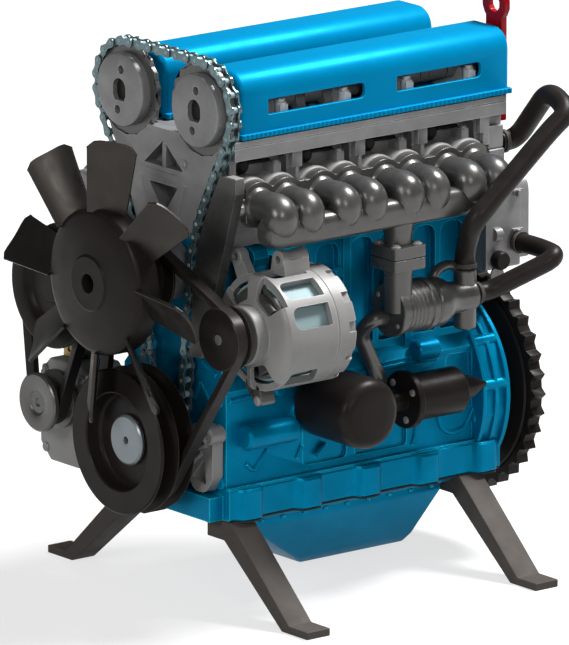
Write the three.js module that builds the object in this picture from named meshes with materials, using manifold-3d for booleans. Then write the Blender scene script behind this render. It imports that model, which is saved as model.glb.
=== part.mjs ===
// A four cylinder engine model on a four legged stand, in millimetres.
// +X is the exhaust side, -Y the fan end, +Z up. The crank axis runs along Y.
import * as THREE from 'three';
import { mergeVertices } from 'three/addons/utils/BufferGeometryUtils.js';
import Module from 'manifold-3d';

const wasm = await Module();
wasm.setup();

// Driving dimensions of the whole engine
const gap = 0.3;
const overrun = 1;
const cylinder_count = 4;
const bore_pitch = 21.7;
const bore_radius = 8.65;
const throw_radius = 5;
const crank_height = 46.5;
const block_front_y = 20;
const front_wall = 2.35;
const bulkhead_thickness = 5;
const first_bore_y = block_front_y + front_wall + (bore_pitch - bulkhead_thickness) / 2;
const block_half_width = 19.4;
const crankcase_half_width = 22.4;
const deck_z = 55;
const head_height = 29.4;
const cam_offset = 16.4;
const cam_z = 92.7;
const fan_z = 45.6;
const stand_foot_x = 52;

// Timing drive
const chain_pitch = 4.1;
const cam_teeth = 20;
const crank_teeth = cam_teeth / 2;
const chain_front_y = 15.6;
const plate_thickness = 0.8;
const roller_width = 2;
const chain_half_height = 1.4;
const guide_arc_radius = 50;
const guide_waist_x = 11.3;
const guide_waist_z = 42;

// Belt drive
const fan_belt_y = 8.4;
const side_belt_y = 4;
const belt_width = 3.4;
const belt_depth = 2.6;
const belt_top_rise = 0.4;
const crank_belt_radius = 18;
const fan_belt_radius = 11.4;
const alternator_belt_radius = 7.4;
const large_belt_radius = 15;
const small_belt_radius = 6.4;
const drum_radius = 16;
const alternator_standoff = 1.6;
const alternator_x = block_half_width + alternator_standoff + drum_radius;
const alternator_z = 34.8;
const large_pulley_standoff = 11.5;
const large_pulley_x = -block_half_width - large_pulley_standoff;
const large_pulley_z = 37;
const small_pulley_standoff = 13.4;
const small_pulley_x = -crankcase_half_width - small_pulley_standoff;
const small_pulley_z = 3.8;

// Sizes that several pieces share
const block_length = cylinder_count * bore_pitch + first_bore_y - bore_pitch / 2 - block_front_y;
const block_rear_y = block_front_y + block_length;
const head_top_z = deck_z + gap + head_height;
const chain_depth = 2 * plate_thickness + roller_width;
const chain_rear_y = chain_front_y + chain_depth;
const chain_middle_y = chain_front_y + chain_depth / 2;
const cam_pitch_radius = chain_pitch / 2 / Math.sin(Math.PI / cam_teeth);
const crank_pitch_radius = chain_pitch / 2 / Math.sin(Math.PI / crank_teeth);

// Finishes
function finish(red, green, blue, roughness, metalness) {
  const color = new THREE.Color().setRGB(red / 255, green / 255, blue / 255, THREE.SRGBColorSpace);
  return new THREE.MeshStandardMaterial({ color, roughness, metalness });
}
const blue_paint = finish(0, 130, 185, 0.35, 0.2);
const dark_blue_paint = finish(0, 100, 145, 0.4, 0.2);
const grey_casting = finish(95, 95, 95, 0.5, 0.7);
const dark_casting = finish(60, 60, 60, 0.4, 0.7);
const bright_alloy = finish(200, 198, 196, 0.35, 0.8);
const black_coat = finish(30, 27, 26, 0.5, 0.3);
const black_rubber = finish(20, 19, 19, 0.75, 0);
const chain_steel = finish(80, 100, 105, 0.35, 0.9);
const machined_steel = finish(140, 140, 138, 0.35, 0.9);
const leg_steel = finish(105, 98, 95, 0.5, 0.6);
const red_enamel = finish(150, 0, 15, 0.35, 0.1);
const brass = finish(150, 130, 70, 0.4, 0.9);

// Solids
function toSolid(geometry) {
  geometry.deleteAttribute('normal');
  geometry.deleteAttribute('uv');
  const merged = mergeVertices(geometry, overrun / 10000);
  const points = merged.attributes.position.array;
  const index = merged.index.array;
  const kept = [];
  let volume = 0;
  const a = new THREE.Vector3();
  const b = new THREE.Vector3();
  const c = new THREE.Vector3();
  for (let i = 0; i < index.length; i += 3) {
    const [p, q, r] = [index[i], index[i + 1], index[i + 2]];
    if (p === q || q === r || r === p) continue;
    kept.push(p, q, r);
    a.fromArray(points, 3 * p);
    b.fromArray(points, 3 * q);
    c.fromArray(points, 3 * r);
    volume += a.dot(b.cross(c));
  }
  if (volume < 0) kept.reverse();
  const vertProperties = new Float32Array(points);
  const triVerts = new Uint32Array(kept);
  return new wasm.Manifold(new wasm.Mesh({ numProp: 3, vertProperties, triVerts }));
}

function join(first, ...others) {
  return others.reduce((whole, solid) => whole.add(solid), first);
}

function cut(first, ...tools) {
  return tools.reduce((whole, tool) => whole.subtract(tool), first);
}

function turnTo(geometry, axis) {
  if (axis === 'x') geometry.rotateX(Math.PI / 2).rotateZ(Math.PI / 2);
  if (axis === 'y') geometry.rotateX(Math.PI / 2);
  return geometry;
}

// A flat outline pushed along an axis. Across y the outline is drawn in x and z, across x in y and z.
function slab(shape, axis, start, end, curveSegments = 6) {
  const settings = { depth: end - start, bevelEnabled: false, curveSegments };
  const geometry = new THREE.ExtrudeGeometry(shape, settings);
  turnTo(geometry, axis);
  if (axis === 'x') geometry.translate(start, 0, 0);
  if (axis === 'y') geometry.translate(0, end, 0);
  if (axis === 'z') geometry.translate(0, 0, start);
  return toSolid(geometry);
}

function outline(points) {
  return new THREE.Shape(points.map(([across, up]) => new THREE.Vector2(across, up)));
}

function mirrored(points) {
  return [...points, ...points.map(([across, up]) => [-across, up]).reverse()];
}

function box([x0, x1], [y0, y1], [z0, z1]) {
  const geometry = new THREE.BoxGeometry(x1 - x0, y1 - y0, z1 - z0);
  geometry.translate((x0 + x1) / 2, (y0 + y1) / 2, (z0 + z1) / 2);
  return toSolid(geometry);
}

// A round bar from one point to another, with its own end radius where it tapers
function bar(radius, from, to, sides = 16, endRadius = radius) {
  const start = new THREE.Vector3(...from);
  const end = new THREE.Vector3(...to);
  const along = end.clone().sub(start);
  const geometry = new THREE.CylinderGeometry(endRadius, radius, along.length(), sides);
  const turn = new THREE.Quaternion().setFromUnitVectors(new THREE.Vector3(0, 1, 0), along.normalize());
  geometry.applyQuaternion(turn);
  geometry.translate(...start.add(end).multiplyScalar(0.5));
  return toSolid(geometry);
}

// A turned piece about a line along y, from a closed profile of radius and y
function turned(profile, x, z, sides = 24) {
  const points = profile.map(([radius, y]) => new THREE.Vector2(radius, y));
  if (profile[0][0] > 0) points.push(points[0].clone());
  const geometry = new THREE.LatheGeometry(points, sides);
  geometry.translate(x, 0, z);
  return toSolid(geometry);
}

// A round pipe along straight runs with round bends
function pipe(corners, bend, radius, sides = 8, steps = 16) {
  const path = new THREE.CurvePath();
  const points = corners.map((corner) => new THREE.Vector3(...corner));
  let last = points[0];
  for (let i = 1; i < points.length - 1; i += 1) {
    const before = points[i].clone().addScaledVector(points[i - 1].clone().sub(points[i]).normalize(), bend);
    const after = points[i].clone().addScaledVector(points[i + 1].clone().sub(points[i]).normalize(), bend);
    path.add(new THREE.LineCurve3(last, before));
    path.add(new THREE.QuadraticBezierCurve3(before, points[i], after));
    last = after;
  }
  path.add(new THREE.LineCurve3(last, points[points.length - 1]));
  const section = new THREE.Shape().absarc(0, 0, radius, 0, 2 * Math.PI);
  const settings = { steps, extrudePath: path, curveSegments: sides / 2, bevelEnabled: false };
  return toSolid(new THREE.ExtrudeGeometry(section, settings));
}

const meshes = [];

function piece(name, solid, material) {
  const { numProp, vertProperties, triVerts } = solid.getMesh();
  const geometry = new THREE.BufferGeometry();
  const positions = new Float32Array(vertProperties.length / numProp * 3);
  for (let i = 0; i < positions.length / 3; i += 1) {
    positions.set(vertProperties.subarray(i * numProp, i * numProp + 3), i * 3);
  }
  geometry.setAttribute('position', new THREE.BufferAttribute(positions, 3));
  geometry.setIndex(new THREE.BufferAttribute(new Uint32Array(triVerts), 1));
  geometry.computeVertexNormals();
  const mesh = new THREE.Mesh(geometry, material);
  mesh.name = name;
  meshes.push(mesh);
}

// A closed loop run counterclockwise round circles. An idler with side -1 pushes on it from outside.
function loopAround(circles) {
  const count = circles.length;
  const headings = circles.map((circle, i) => {
    const next = circles[(i + 1) % count];
    const distance = Math.hypot(next.x - circle.x, next.z - circle.z);
    const offset = next.side * next.radius - circle.side * circle.radius;
    return Math.atan2(next.z - circle.z, next.x - circle.x) - Math.asin(offset / distance);
  });
  const pointOn = (circle, heading) => ({
    x: circle.x + circle.side * circle.radius * Math.sin(heading),
    z: circle.z - circle.side * circle.radius * Math.cos(heading),
    heading,
  });
  const runs = [];
  circles.forEach((circle, i) => {
    const arriving = headings[(i + count - 1) % count];
    const leaving = headings[i];
    const full = 2 * Math.PI;
    const turn = ((circle.side * (leaving - arriving)) % full + full) % full;
    const round = (share) => pointOn(circle, arriving + circle.side * turn * share);
    runs.push({ length: turn * circle.radius, at: round, turn });
    const start = pointOn(circle, leaving);
    const end = pointOn(circles[(i + 1) % count], leaving);
    const straight = (share) => ({
      x: THREE.MathUtils.lerp(start.x, end.x, share),
      z: THREE.MathUtils.lerp(start.z, end.z, share),
      heading: leaving,
    });
    runs.push({ length: Math.hypot(end.x - start.x, end.z - start.z), at: straight, turn: 0 });
  });
  return runs;
}

function pointAlong(runs, distance) {
  let left = distance;
  for (const run of runs) {
    if (left <= run.length) return run.at(left / run.length);
    left -= run.length;
  }
  return runs[runs.length - 1].at(1);
}

function beside(point, offset) {
  return [point.x + offset * Math.sin(point.heading), point.z - offset * Math.cos(point.heading)];
}

function loopPoints(runs, arc_step) {
  const points = [];
  for (const run of runs.filter(({ turn }) => turn > 0)) {
    const steps = Math.max(2, Math.ceil(run.turn / arc_step));
    for (let i = 0; i <= steps; i += 1) points.push(run.at(i / steps));
  }
  return points;
}

// A closed band whose section, a list of offset and y, is carried round a loop
function band(runs, section, arc_step = Math.PI / 12) {
  const points = loopPoints(runs, arc_step);
  const positions = [];
  const index = [];
  const count = section.length;
  points.forEach((point, i) => {
    const next = (i + 1) % points.length;
    section.forEach(([offset, y], j) => {
      const [x, z] = beside(point, offset);
      positions.push(x, y, z);
      const [a, b] = [i * count + j, i * count + (j + 1) % count];
      const [c, d] = [next * count + j, next * count + (j + 1) % count];
      index.push(a, b, c, b, d, c);
    });
  });
  const geometry = new THREE.BufferGeometry();
  geometry.setAttribute('position', new THREE.Float32BufferAttribute(positions, 3));
  geometry.setIndex(index);
  return toSolid(geometry);
}

function gearShape(teeth, root_radius, tip_radius, root_share, tip_share) {
  const points = [];
  const tooth = 2 * Math.PI / teeth;
  for (let i = 0; i < teeth; i += 1) {
    const tips = tip_share > 0 ? [[tip_radius, -tip_share], [tip_radius, tip_share]] : [[tip_radius, 0]];
    const corners = [[root_radius, -root_share], ...tips, [root_radius, root_share]];
    for (const [radius, share] of corners) {
      const angle = tooth * (i + share);
      points.push([radius * Math.cos(angle), radius * Math.sin(angle)]);
    }
  }
  return points;
}

function turnedUp(profile, x, y, sides = 16) {
  const points = profile.map(([radius, z]) => new THREE.Vector2(radius, z));
  if (profile[0][0] > 0) points.push(points[0].clone());
  const geometry = new THREE.LatheGeometry(points, sides);
  geometry.rotateX(Math.PI / 2);
  geometry.translate(x, y, 0);
  return toSolid(geometry);
}

function turnedAcross(profile, y, z, sides = 24) {
  const points = profile.map(([radius, x]) => new THREE.Vector2(radius, x));
  if (profile[0][0] > 0) points.push(points[0].clone());
  const geometry = new THREE.LatheGeometry(points, sides);
  geometry.rotateZ(-Math.PI / 2);
  geometry.translate(0, y, z);
  return toSolid(geometry);
}

// The points of a line along y that stands at one x and z
function alongY(x, z, places) {
  return places.map((y) => [x, y, z]);
}

const bore_numbers = Array.from({ length: cylinder_count }, (_, i) => i);
const bore_places = bore_numbers.map((i) => first_bore_y + i * bore_pitch);
const wall_places = [...bore_numbers, cylinder_count].map((i) => first_bore_y + (i - 0.5) * bore_pitch);
const sides = [1, -1];

// Cylinder block
const deck_flange_rise = 2.2;
const deck_flange_half_width = block_half_width + deck_flange_rise;
const deck_flange_height = 3.4;
const rail_rise = 1.6;
const rail_half_width = crankcase_half_width + rail_rise;
const rail_top_z = -12.4;
const rail_bottom_z = -20.7;
const rail_boss_radius = 3.4;
const rail_boss_count = 5;
const rail_boss_inset = 6.4;
const rail_boss_sink = 1.4;
const crankcase_top_z = 15;
const shoulder_height = 3.4;
const chamber_half_width = 13.6;
const chamber_top_z = 14;
const end_wall = 4;
const journal_radius = 3;
const side_rib_width = 2.6;
const side_rib_rise = 1.2;
const bell_radius = 27.4;
const bell_depth = 8;
const bell_recess_radius = 8.4;
const bell_recess_depth = 5;
const skirt_half_width = 21;
const skirt_top_z = -14;
const skirt_depth = 4.6;
const gallery_radius = 3.4;
const gallery_z = 2.2;
const gallery_start_y = 24.6;
const gallery_end_y = 41;
const gallery_sink = 1.2;
const ear_x = 25.2;
const ear_z = 52.2;
const ear_radius = 2.8;
const ear_front_y = 20.6;
const ear_depth = 4.6;
const ear_boss_depth = 5;

function cylinderBlock() {
  const half = [
    [rail_half_width, rail_bottom_z],
    [rail_half_width, rail_top_z],
    [crankcase_half_width, rail_top_z + gap],
    [crankcase_half_width, crankcase_top_z],
    [block_half_width, crankcase_top_z + shoulder_height],
    [block_half_width, deck_z - deck_flange_height - gap],
    [deck_flange_half_width, deck_z - deck_flange_height],
    [deck_flange_half_width, deck_z],
  ];
  let block = slab(outline(mirrored(half)), 'y', block_front_y, block_rear_y);
  for (const side of sides) {
    for (const y of wall_places) {
      const start = Math.max(y - side_rib_width / 2, block_front_y);
      const end = Math.min(y + side_rib_width / 2, block_rear_y);
      const rib_x = block_half_width + side_rib_rise;
      const reach = [side * chamber_half_width, side * rib_x].sort((a, b) => a - b);
      block = join(block, box(reach, [start, end], [crankcase_top_z, deck_z - deck_flange_height]));
    }
    const boss_length = block_length + bell_depth - 2 * rail_boss_inset;
    const boss_step = boss_length / (rail_boss_count - 1);
    for (let i = 0; i < rail_boss_count; i += 1) {
      const x = side * (rail_half_width - rail_boss_sink);
      const y = block_front_y + rail_boss_inset + i * boss_step;
      block = join(block, bar(rail_boss_radius, [x, y, rail_bottom_z], [x, y, rail_top_z + gap], 6));
    }
  }
  const bell = new THREE.Shape();
  const foot_angle = Math.asin(rail_bottom_z / bell_radius);
  bell.absarc(0, 0, bell_radius, foot_angle, Math.PI - foot_angle);
  block = join(block, slab(bell, 'y', block_rear_y - overrun, block_rear_y + bell_depth, 7));
  const skirt_front_y = block_front_y - skirt_depth;
  const skirt_z = [rail_bottom_z, skirt_top_z];
  const skirt_y = [skirt_front_y, block_front_y + overrun];
  block = join(block, box([-skirt_half_width, skirt_half_width], skirt_y, skirt_z));
  const gallery_x = crankcase_half_width + gallery_radius - gallery_sink;
  const gallery_ends = [gallery_start_y, gallery_end_y].map((y) => [gallery_x, y, gallery_z]);
  block = join(block, bar(gallery_radius, ...gallery_ends, 10));
  const ear_rear_y = ear_front_y + ear_depth + gap;
  const ear_y = [ear_rear_y, ear_rear_y + ear_boss_depth];
  const ear_root = box([block_half_width - overrun, ear_x], ear_y, [ear_z - ear_radius, deck_z]);
  block = join(block, ear_root, bar(ear_radius, ...ear_y.map((y) => [ear_x, y, ear_z]), 8));

  for (const y of bore_places) {
    block = cut(block, bar(bore_radius, [0, y, 0], [0, y, deck_z + overrun], 10));
    const chamber_y = [y - (bore_pitch - bulkhead_thickness) / 2, y + (bore_pitch - bulkhead_thickness) / 2];
    const chamber_x = [-chamber_half_width, chamber_half_width];
    block = cut(block, box(chamber_x, chamber_y, [rail_bottom_z - overrun, chamber_top_z]));
  }
  const well_y = [block_front_y + end_wall, block_rear_y - end_wall];
  block = cut(block, box([-chamber_half_width, chamber_half_width], well_y, [rail_bottom_z - overrun, 0]));
  const main_ends = [[0, block_front_y - overrun, 0], [0, block_rear_y + bell_depth + overrun, 0]];
  block = cut(block, bar(journal_radius + gap, ...main_ends, 10));
  const recess_start = block_rear_y + bell_depth - bell_recess_depth;
  const recess_ends = [[0, recess_start, 0], [0, block_rear_y + bell_depth + overrun, 0]];
  return cut(block, bar(bell_recess_radius, ...recess_ends, 12));
}
piece('block', cylinderBlock(), dark_blue_paint);

// Main bearing ladder
const ladder_height = 8;
const ladder_rail = 2.7;

function bearingLadder() {
  const half_width = chamber_half_width - gap;
  const length = [block_front_y + end_wall + gap, block_rear_y - end_wall - gap];
  let ladder = box([-half_width, half_width], length, [-gap - ladder_height, -gap]);
  for (const y of bore_places) {
    const window_y = [y - (bore_pitch - bulkhead_thickness) / 2, y + (bore_pitch - bulkhead_thickness) / 2];
    const window_x = [ladder_rail - half_width, half_width - ladder_rail];
    ladder = cut(ladder, box(window_x, window_y, [-ladder_height - overrun, overrun]));
  }
  return cut(ladder, bar(journal_radius + gap, [0, block_front_y, 0], [0, block_rear_y, 0], 10));
}
piece('bearing_ladder', bearingLadder(), grey_casting);

// Stand legs
const leg_width = 8;
const front_leg_y = 24;
const rear_leg_inset = 3.05;
const rear_leg_y = block_rear_y - rear_leg_inset;
const leg_thickness = 3;
const leg_root_x = 14;
const leg_root_depth = 5.4;
const leg_bend_x = 24.4;
const foot_length = 11;
const foot_thickness = 2.2;

function standLeg(side, y) {
  const top = rail_bottom_z - gap;
  const heel_x = stand_foot_x - foot_length / 2;
  const toe_x = stand_foot_x + foot_length / 2;
  const foot_top = foot_thickness - crank_height;
  const points = [
    [leg_root_x, top],
    [leg_root_x, top - leg_root_depth],
    [leg_bend_x - leg_thickness, top - leg_root_depth],
    [heel_x, -crank_height],
    [toe_x, -crank_height],
    [toe_x, foot_top],
    [heel_x + leg_thickness, foot_top],
    [leg_bend_x, top],
  ];
  const shape = outline(points.map(([x, z]) => [side * x, z]));
  return slab(shape, 'y', y - leg_width / 2, y + leg_width / 2);
}
piece('leg_front_right', standLeg(1, front_leg_y), leg_steel);
piece('leg_front_left', standLeg(-1, front_leg_y), leg_steel);
piece('leg_rear_right', standLeg(1, rear_leg_y), leg_steel);
piece('leg_rear_left', standLeg(-1, rear_leg_y), leg_steel);

// Oil sump
const sump_flange_half_width = 22;
const sump_flange_height = 1.6;
const sump_half_width = 19.6;
const sump_floor_half_width = 12;
const sump_floor_z = -41.4;
const sump_straight = 4;
const sump_front_slope = 26;
const sump_rear_slope = 5;
const sump_inset = 2;
const sump_wall = 1.6;
const sump_floor_chamfer = 3;

function sumpBody(inset, top) {
  const front = front_leg_y + leg_width / 2 + gap + sump_inset + inset;
  const rear = rear_leg_y - leg_width / 2 - gap - sump_inset - inset;
  const step = top - sump_straight;
  const floor = sump_floor_z + inset;
  const across = outline(mirrored([
    [sump_floor_half_width - inset - sump_floor_chamfer, floor],
    [sump_floor_half_width - inset, floor + sump_floor_chamfer],
    [sump_half_width - inset, step],
    [sump_half_width - inset, top],
  ]));
  const along = outline([
    [front, top],
    [front, step],
    [front + sump_front_slope, floor],
    [rear - sump_rear_slope, floor],
    [rear, step],
    [rear, top],
  ]);
  return slab(across, 'y', front - overrun, rear + overrun)
    .intersect(slab(along, 'x', -rail_half_width, rail_half_width));
}

function oilSump() {
  const top = rail_bottom_z - gap;
  const flange_y = [front_leg_y + leg_width / 2 + gap, rear_leg_y - leg_width / 2 - gap];
  const flange_x = [-sump_flange_half_width, sump_flange_half_width];
  const flange = box(flange_x, flange_y, [top - sump_flange_height, top]);
  return cut(join(flange, sumpBody(0, top)), sumpBody(sump_wall, top + overrun));
}
piece('sump', oilSump(), dark_blue_paint);

// Crankshaft
const nose_radius = 2.6;
const nose_front_y = 4.8;
const pin_radius = 2.6;
const pin_length = 5;
const web_thickness = 2.6;
const web_pin_radius = 3.7;
const counterweight_radius = 8.2;
const counterweight_angle = 0.55;
const crank_flange_radius = 7;
const flywheel_clearance = 4.75;
const flywheel_front_y = block_rear_y + bell_depth + flywheel_clearance;

function crankWeb(y, up) {
  const shape = new THREE.Shape();
  shape.absarc(0, up * throw_radius, web_pin_radius, up > 0 ? 0 : Math.PI, up > 0 ? Math.PI : 2 * Math.PI);
  const start = (up > 0 ? Math.PI : 0) + counterweight_angle;
  shape.absarc(0, 0, counterweight_radius, start, start + Math.PI - 2 * counterweight_angle);
  return slab(shape, 'y', y, y + web_thickness, 2);
}

function crankshaft() {
  const reach = pin_length / 2 + web_thickness / 2;
  let shaft = bar(nose_radius, ...alongY(0, 0, [nose_front_y, block_front_y + gap]), 8);
  let start = block_front_y;
  bore_places.forEach((y, i) => {
    const up = i === 0 || i === cylinder_count - 1 ? 1 : -1;
    shaft = join(shaft, bar(journal_radius, ...alongY(0, 0, [start, y - reach]), 8));
    shaft = join(shaft, bar(pin_radius, ...alongY(0, up * throw_radius, [y - reach, y + reach]), 8));
    shaft = join(shaft, crankWeb(y - pin_length / 2 - web_thickness, up), crankWeb(y + pin_length / 2, up));
    start = y + reach;
  });
  const flange_y = block_rear_y + bell_depth - bell_recess_depth + gap;
  shaft = join(shaft, bar(journal_radius, ...alongY(0, 0, [start, flange_y + overrun]), 8));
  return join(shaft, bar(crank_flange_radius, [0, flange_y, 0], [0, flywheel_front_y - gap, 0], 12));
}
piece('crankshaft', crankshaft(), machined_steel);

// Flywheel and its ring gear
const flywheel_thickness = 5.4;
const flywheel_radius = 28.6;
const flywheel_step_radius = 20;
const flywheel_step = 1.4;
const ring_radius = 30.4;
const ring_tip_radius = 32.2;
const ring_width = 4;
const ring_teeth = 36;

function flywheel() {
  const rear = flywheel_front_y + flywheel_thickness;
  const profile = [
    [0, flywheel_front_y],
    [flywheel_radius, flywheel_front_y],
    [flywheel_radius, rear],
    [flywheel_step_radius, rear],
    [flywheel_step_radius - flywheel_step, rear - flywheel_step],
    [0, rear - flywheel_step],
  ];
  return turned(profile, 0, 0, 20);
}
piece('flywheel', flywheel(), black_coat);

function ringGear() {
  const start = flywheel_front_y + (flywheel_thickness - ring_width) / 2;
  const root_share = 0.3;
  const teeth = outline(gearShape(ring_teeth, ring_radius, ring_tip_radius, root_share, 0));
  const hole = new THREE.Path().absarc(0, 0, flywheel_radius + gap, 0, 2 * Math.PI);
  teeth.holes.push(hole);
  return slab(teeth, 'y', start, start + ring_width, 12);
}
piece('ring_gear', ringGear(), dark_casting);

// Timing chain, its sprockets and its guides
const roller_radius = 0.8;
const plate_waist = 0.45;
const tooth_width = 1.3;
const tooth_height = 1.4;
const roller_gap = 0.3;
const sprocket_disc_radius = 10.1;
const sprocket_front_y = 13.9;
const disc_depth = 3.2;
const shaft_radius = 2.4;

const cam_circles = sides.map((side) => ({
  x: side * cam_offset, z: cam_z, radius: cam_pitch_radius, side: 1,
}));
const guide_circles = sides.map((side) => ({
  x: side * (guide_waist_x + guide_arc_radius), z: guide_waist_z, radius: guide_arc_radius, side: -1,
}));
const crank_circle = { x: 0, z: 0, radius: crank_pitch_radius, side: 1 };
const chain_circles = [...cam_circles, guide_circles[1], crank_circle, guide_circles[0]];
const chain_runs = loopAround(chain_circles);
const chain_length = chain_runs.reduce((sum, run) => sum + run.length, 0);
const link_count = 2 * Math.round(chain_length / chain_pitch / 2);
const link_length = chain_length / link_count;

// The front plates are fullest round a pin and narrowest half a pitch further on, outside the loop
function frontPlates() {
  const waist_height = chain_half_height - plate_waist;
  const outer = [];
  for (let i = 0; i < 2 * link_count; i += 1) {
    const height = i % 2 ? waist_height : chain_half_height;
    outer.push(beside(pointAlong(chain_runs, i * link_length / 2), height));
  }
  const plate = outline(outer);
  const inner = loopPoints(chain_runs, Math.PI / 9).map((point) => beside(point, -chain_half_height));
  plate.holes.push(outline(inner));
  return slab(plate, 'y', chain_front_y, chain_front_y + plate_thickness);
}

function rearPlates() {
  const height = chain_half_height - plate_waist;
  const front = chain_rear_y - plate_thickness;
  const section = [
    [height, front],
    [height, chain_rear_y],
    [-height, chain_rear_y],
    [-height, front],
  ];
  return band(chain_runs, section, Math.PI / 9);
}

function timingChain() {
  const ends = [chain_front_y + plate_thickness / 2, chain_rear_y - plate_thickness / 2];
  const rollers = Array.from({ length: link_count }, (_, i) => {
    const place = pointAlong(chain_runs, i * link_length);
    return bar(roller_radius, ...ends.map((y) => [place.x, y, place.z]), 4);
  });
  return join(frontPlates(), rearPlates(), wasm.Manifold.union(rollers));
}
piece('timing_chain', timingChain(), chain_steel);

function sprocketTeeth(teeth, pitch_radius) {
  const tip = pitch_radius - roller_radius - roller_gap;
  const root_share = 0.32;
  const shape = outline(gearShape(teeth, tip - tooth_height, tip, root_share, 0));
  return slab(shape, 'y', chain_middle_y - tooth_width / 2, chain_middle_y + tooth_width / 2);
}

const slot_radius = 2.6;
const slot_flat = 1.2;
const slot_depth = 1.8;
const peg_hole_radius = 1;
const peg_hole_offset = 5.6;
const disc_web = 0.6;
const hub_wall = 1.2;

function camSprocket(x) {
  const disc = turned([
    [0, sprocket_front_y],
    [sprocket_disc_radius, sprocket_front_y],
    [sprocket_disc_radius, sprocket_front_y + disc_depth],
    [0, sprocket_front_y + disc_depth],
  ], 0, 0, 20);
  const hub_y = [sprocket_front_y + gap, chain_rear_y + gap];
  const hub = bar(shaft_radius + hub_wall, ...alongY(0, 0, hub_y), 10);
  let sprocket = join(disc, hub, sprocketTeeth(cam_teeth, cam_pitch_radius));
  const slot = new THREE.Shape();
  const flat_angle = Math.asin(slot_flat / slot_radius);
  slot.absarc(0, 0, slot_radius, -flat_angle, Math.PI + flat_angle);
  sprocket = cut(sprocket, slab(slot, 'y', sprocket_front_y - overrun, sprocket_front_y + slot_depth, 4));
  for (const side of sides) {
    const hole_z = side * peg_hole_offset;
    const hole_ends = [[0, sprocket_front_y - overrun, hole_z], [0, sprocket_front_y + slot_depth, hole_z]];
    sprocket = cut(sprocket, bar(peg_hole_radius, ...hole_ends, 6));
  }
  const bore_ends = [[0, sprocket_front_y + slot_depth + disc_web, 0], [0, chain_rear_y + overrun, 0]];
  return cut(sprocket, bar(shaft_radius + gap, ...bore_ends, 8)).translate([x, 0, cam_z]);
}
piece('exhaust_cam_sprocket', camSprocket(cam_offset), grey_casting);
piece('intake_cam_sprocket', camSprocket(-cam_offset), grey_casting);

const crank_hub_radius = 3.9;
const crank_hub_front_y = 13.2;

function crankSprocket() {
  const hub = bar(crank_hub_radius, [0, crank_hub_front_y, 0], [0, block_front_y - gap, 0], 10);
  const body = join(hub, sprocketTeeth(crank_teeth, crank_pitch_radius));
  return cut(body, bar(nose_radius + gap, [0, crank_hub_front_y - overrun, 0], [0, block_front_y, 0], 10));
}
piece('crank_sprocket', crankSprocket(), grey_casting);

const guide_top_z = 76;
const guide_foot_z = 24;
const guide_top_straight = 4.1;
const guide_xs = [16.5, 31.5];
const tensioner_xs = [14.6, 26];
const guide_shoe = 0.5;
const guide_depth = 3;
const guide_boss_radius = 1.8;
const guide_boss_z = 60;
const guide_boss_low_z = 32;
const guide_boss_inset = 2.6;

function chainGuide(side, [foot_x, top_x]) {
  const front = chain_rear_y - guide_depth;
  const blank = outline([
    [0, guide_foot_z],
    [side * foot_x, guide_foot_z],
    [side * top_x, guide_top_z - guide_top_straight],
    [side * top_x, guide_top_z],
    [0, guide_top_z],
  ]);
  const rim = loopPoints(chain_runs, Math.PI / 9);
  const loop = outline(rim.map((point) => beside(point, chain_half_height + guide_shoe)));
  let guide = slab(blank, 'y', front, chain_rear_y);
  guide = cut(guide, slab(loop, 'y', front - overrun, chain_rear_y + overrun));
  for (const z of [guide_boss_z, guide_boss_low_z]) {
    const reach = (z - guide_foot_z) / (guide_top_z - guide_foot_z);
    const x = side * (THREE.MathUtils.lerp(foot_x, top_x, reach) - guide_boss_inset);
    guide = join(guide, bar(guide_boss_radius, [x, front, z], [x, block_front_y - gap, z], 8));
  }
  return guide;
}
piece('chain_guide', chainGuide(1, guide_xs), grey_casting);
piece('chain_tensioner', chainGuide(-1, tensioner_xs), grey_casting);

// Cylinder head
const head_front_y = block_front_y;
const head_bottom_z = deck_z + gap;
const head_half_width = 24.2;
const head_flange_rise = 2.3;
const head_flange_half_width = head_half_width + head_flange_rise;
const head_flange_height = 5.2;
const port_face_rise = 2.5;
const port_face_x = head_half_width + port_face_rise;
const port_boss_bottom_z = 60.4;
const port_boss_top_z = 74.6;
const port_z = 67.5;
const port_spread = 4.7;
const head_overhang = 7.3;
const head_overhang_z = 62.7;
const post_width = 3.2;
const post_bottom_z = 71.7;
const cam_bearing_radius = 4.6;
const cam_bearing_width = 3;
const plate_front_y = 16.3;
const plate_foot_z = 58;
const plate_peak_z = 84.6;
const plate_clearance = 0.4;
const upper_window_half_width = 8.6;
const upper_window_z = 74;
const upper_window_peak_z = 81.4;
const lower_window_half_width = 6.4;
const lower_window_z = 61;
const lower_window_top_z = 69.2;
const sprocket_window_radius = 12.8;

function headFrontPlate() {
  const rim_offset = -chain_half_height - plate_clearance;
  const rim = loopPoints(chain_runs, Math.PI / 9).map((point) => beside(point, rim_offset));
  const reach = cam_offset + cam_pitch_radius;
  let plate = slab(outline(rim), 'y', plate_front_y, head_front_y + overrun);
  const plate_y = [plate_front_y, head_front_y + overrun];
  plate = plate.intersect(box([-reach, reach], plate_y, [plate_foot_z, plate_peak_z]));
  for (const side of sides) {
    const ends = [plate_front_y - overrun, head_front_y].map((y) => [side * cam_offset, y, cam_z]);
    plate = cut(plate, bar(sprocket_window_radius, ...ends, 16));
  }
  const upper = outline([
    [-upper_window_half_width, upper_window_z],
    [upper_window_half_width, upper_window_z],
    [0, upper_window_peak_z],
  ]);
  const lower = outline([
    [-lower_window_half_width, lower_window_top_z],
    [0, lower_window_z],
    [lower_window_half_width, lower_window_top_z],
  ]);
  const depth = [plate_front_y - overrun, head_front_y];
  return cut(plate, slab(upper, 'y', ...depth), slab(lower, 'y', ...depth));
}

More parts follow.
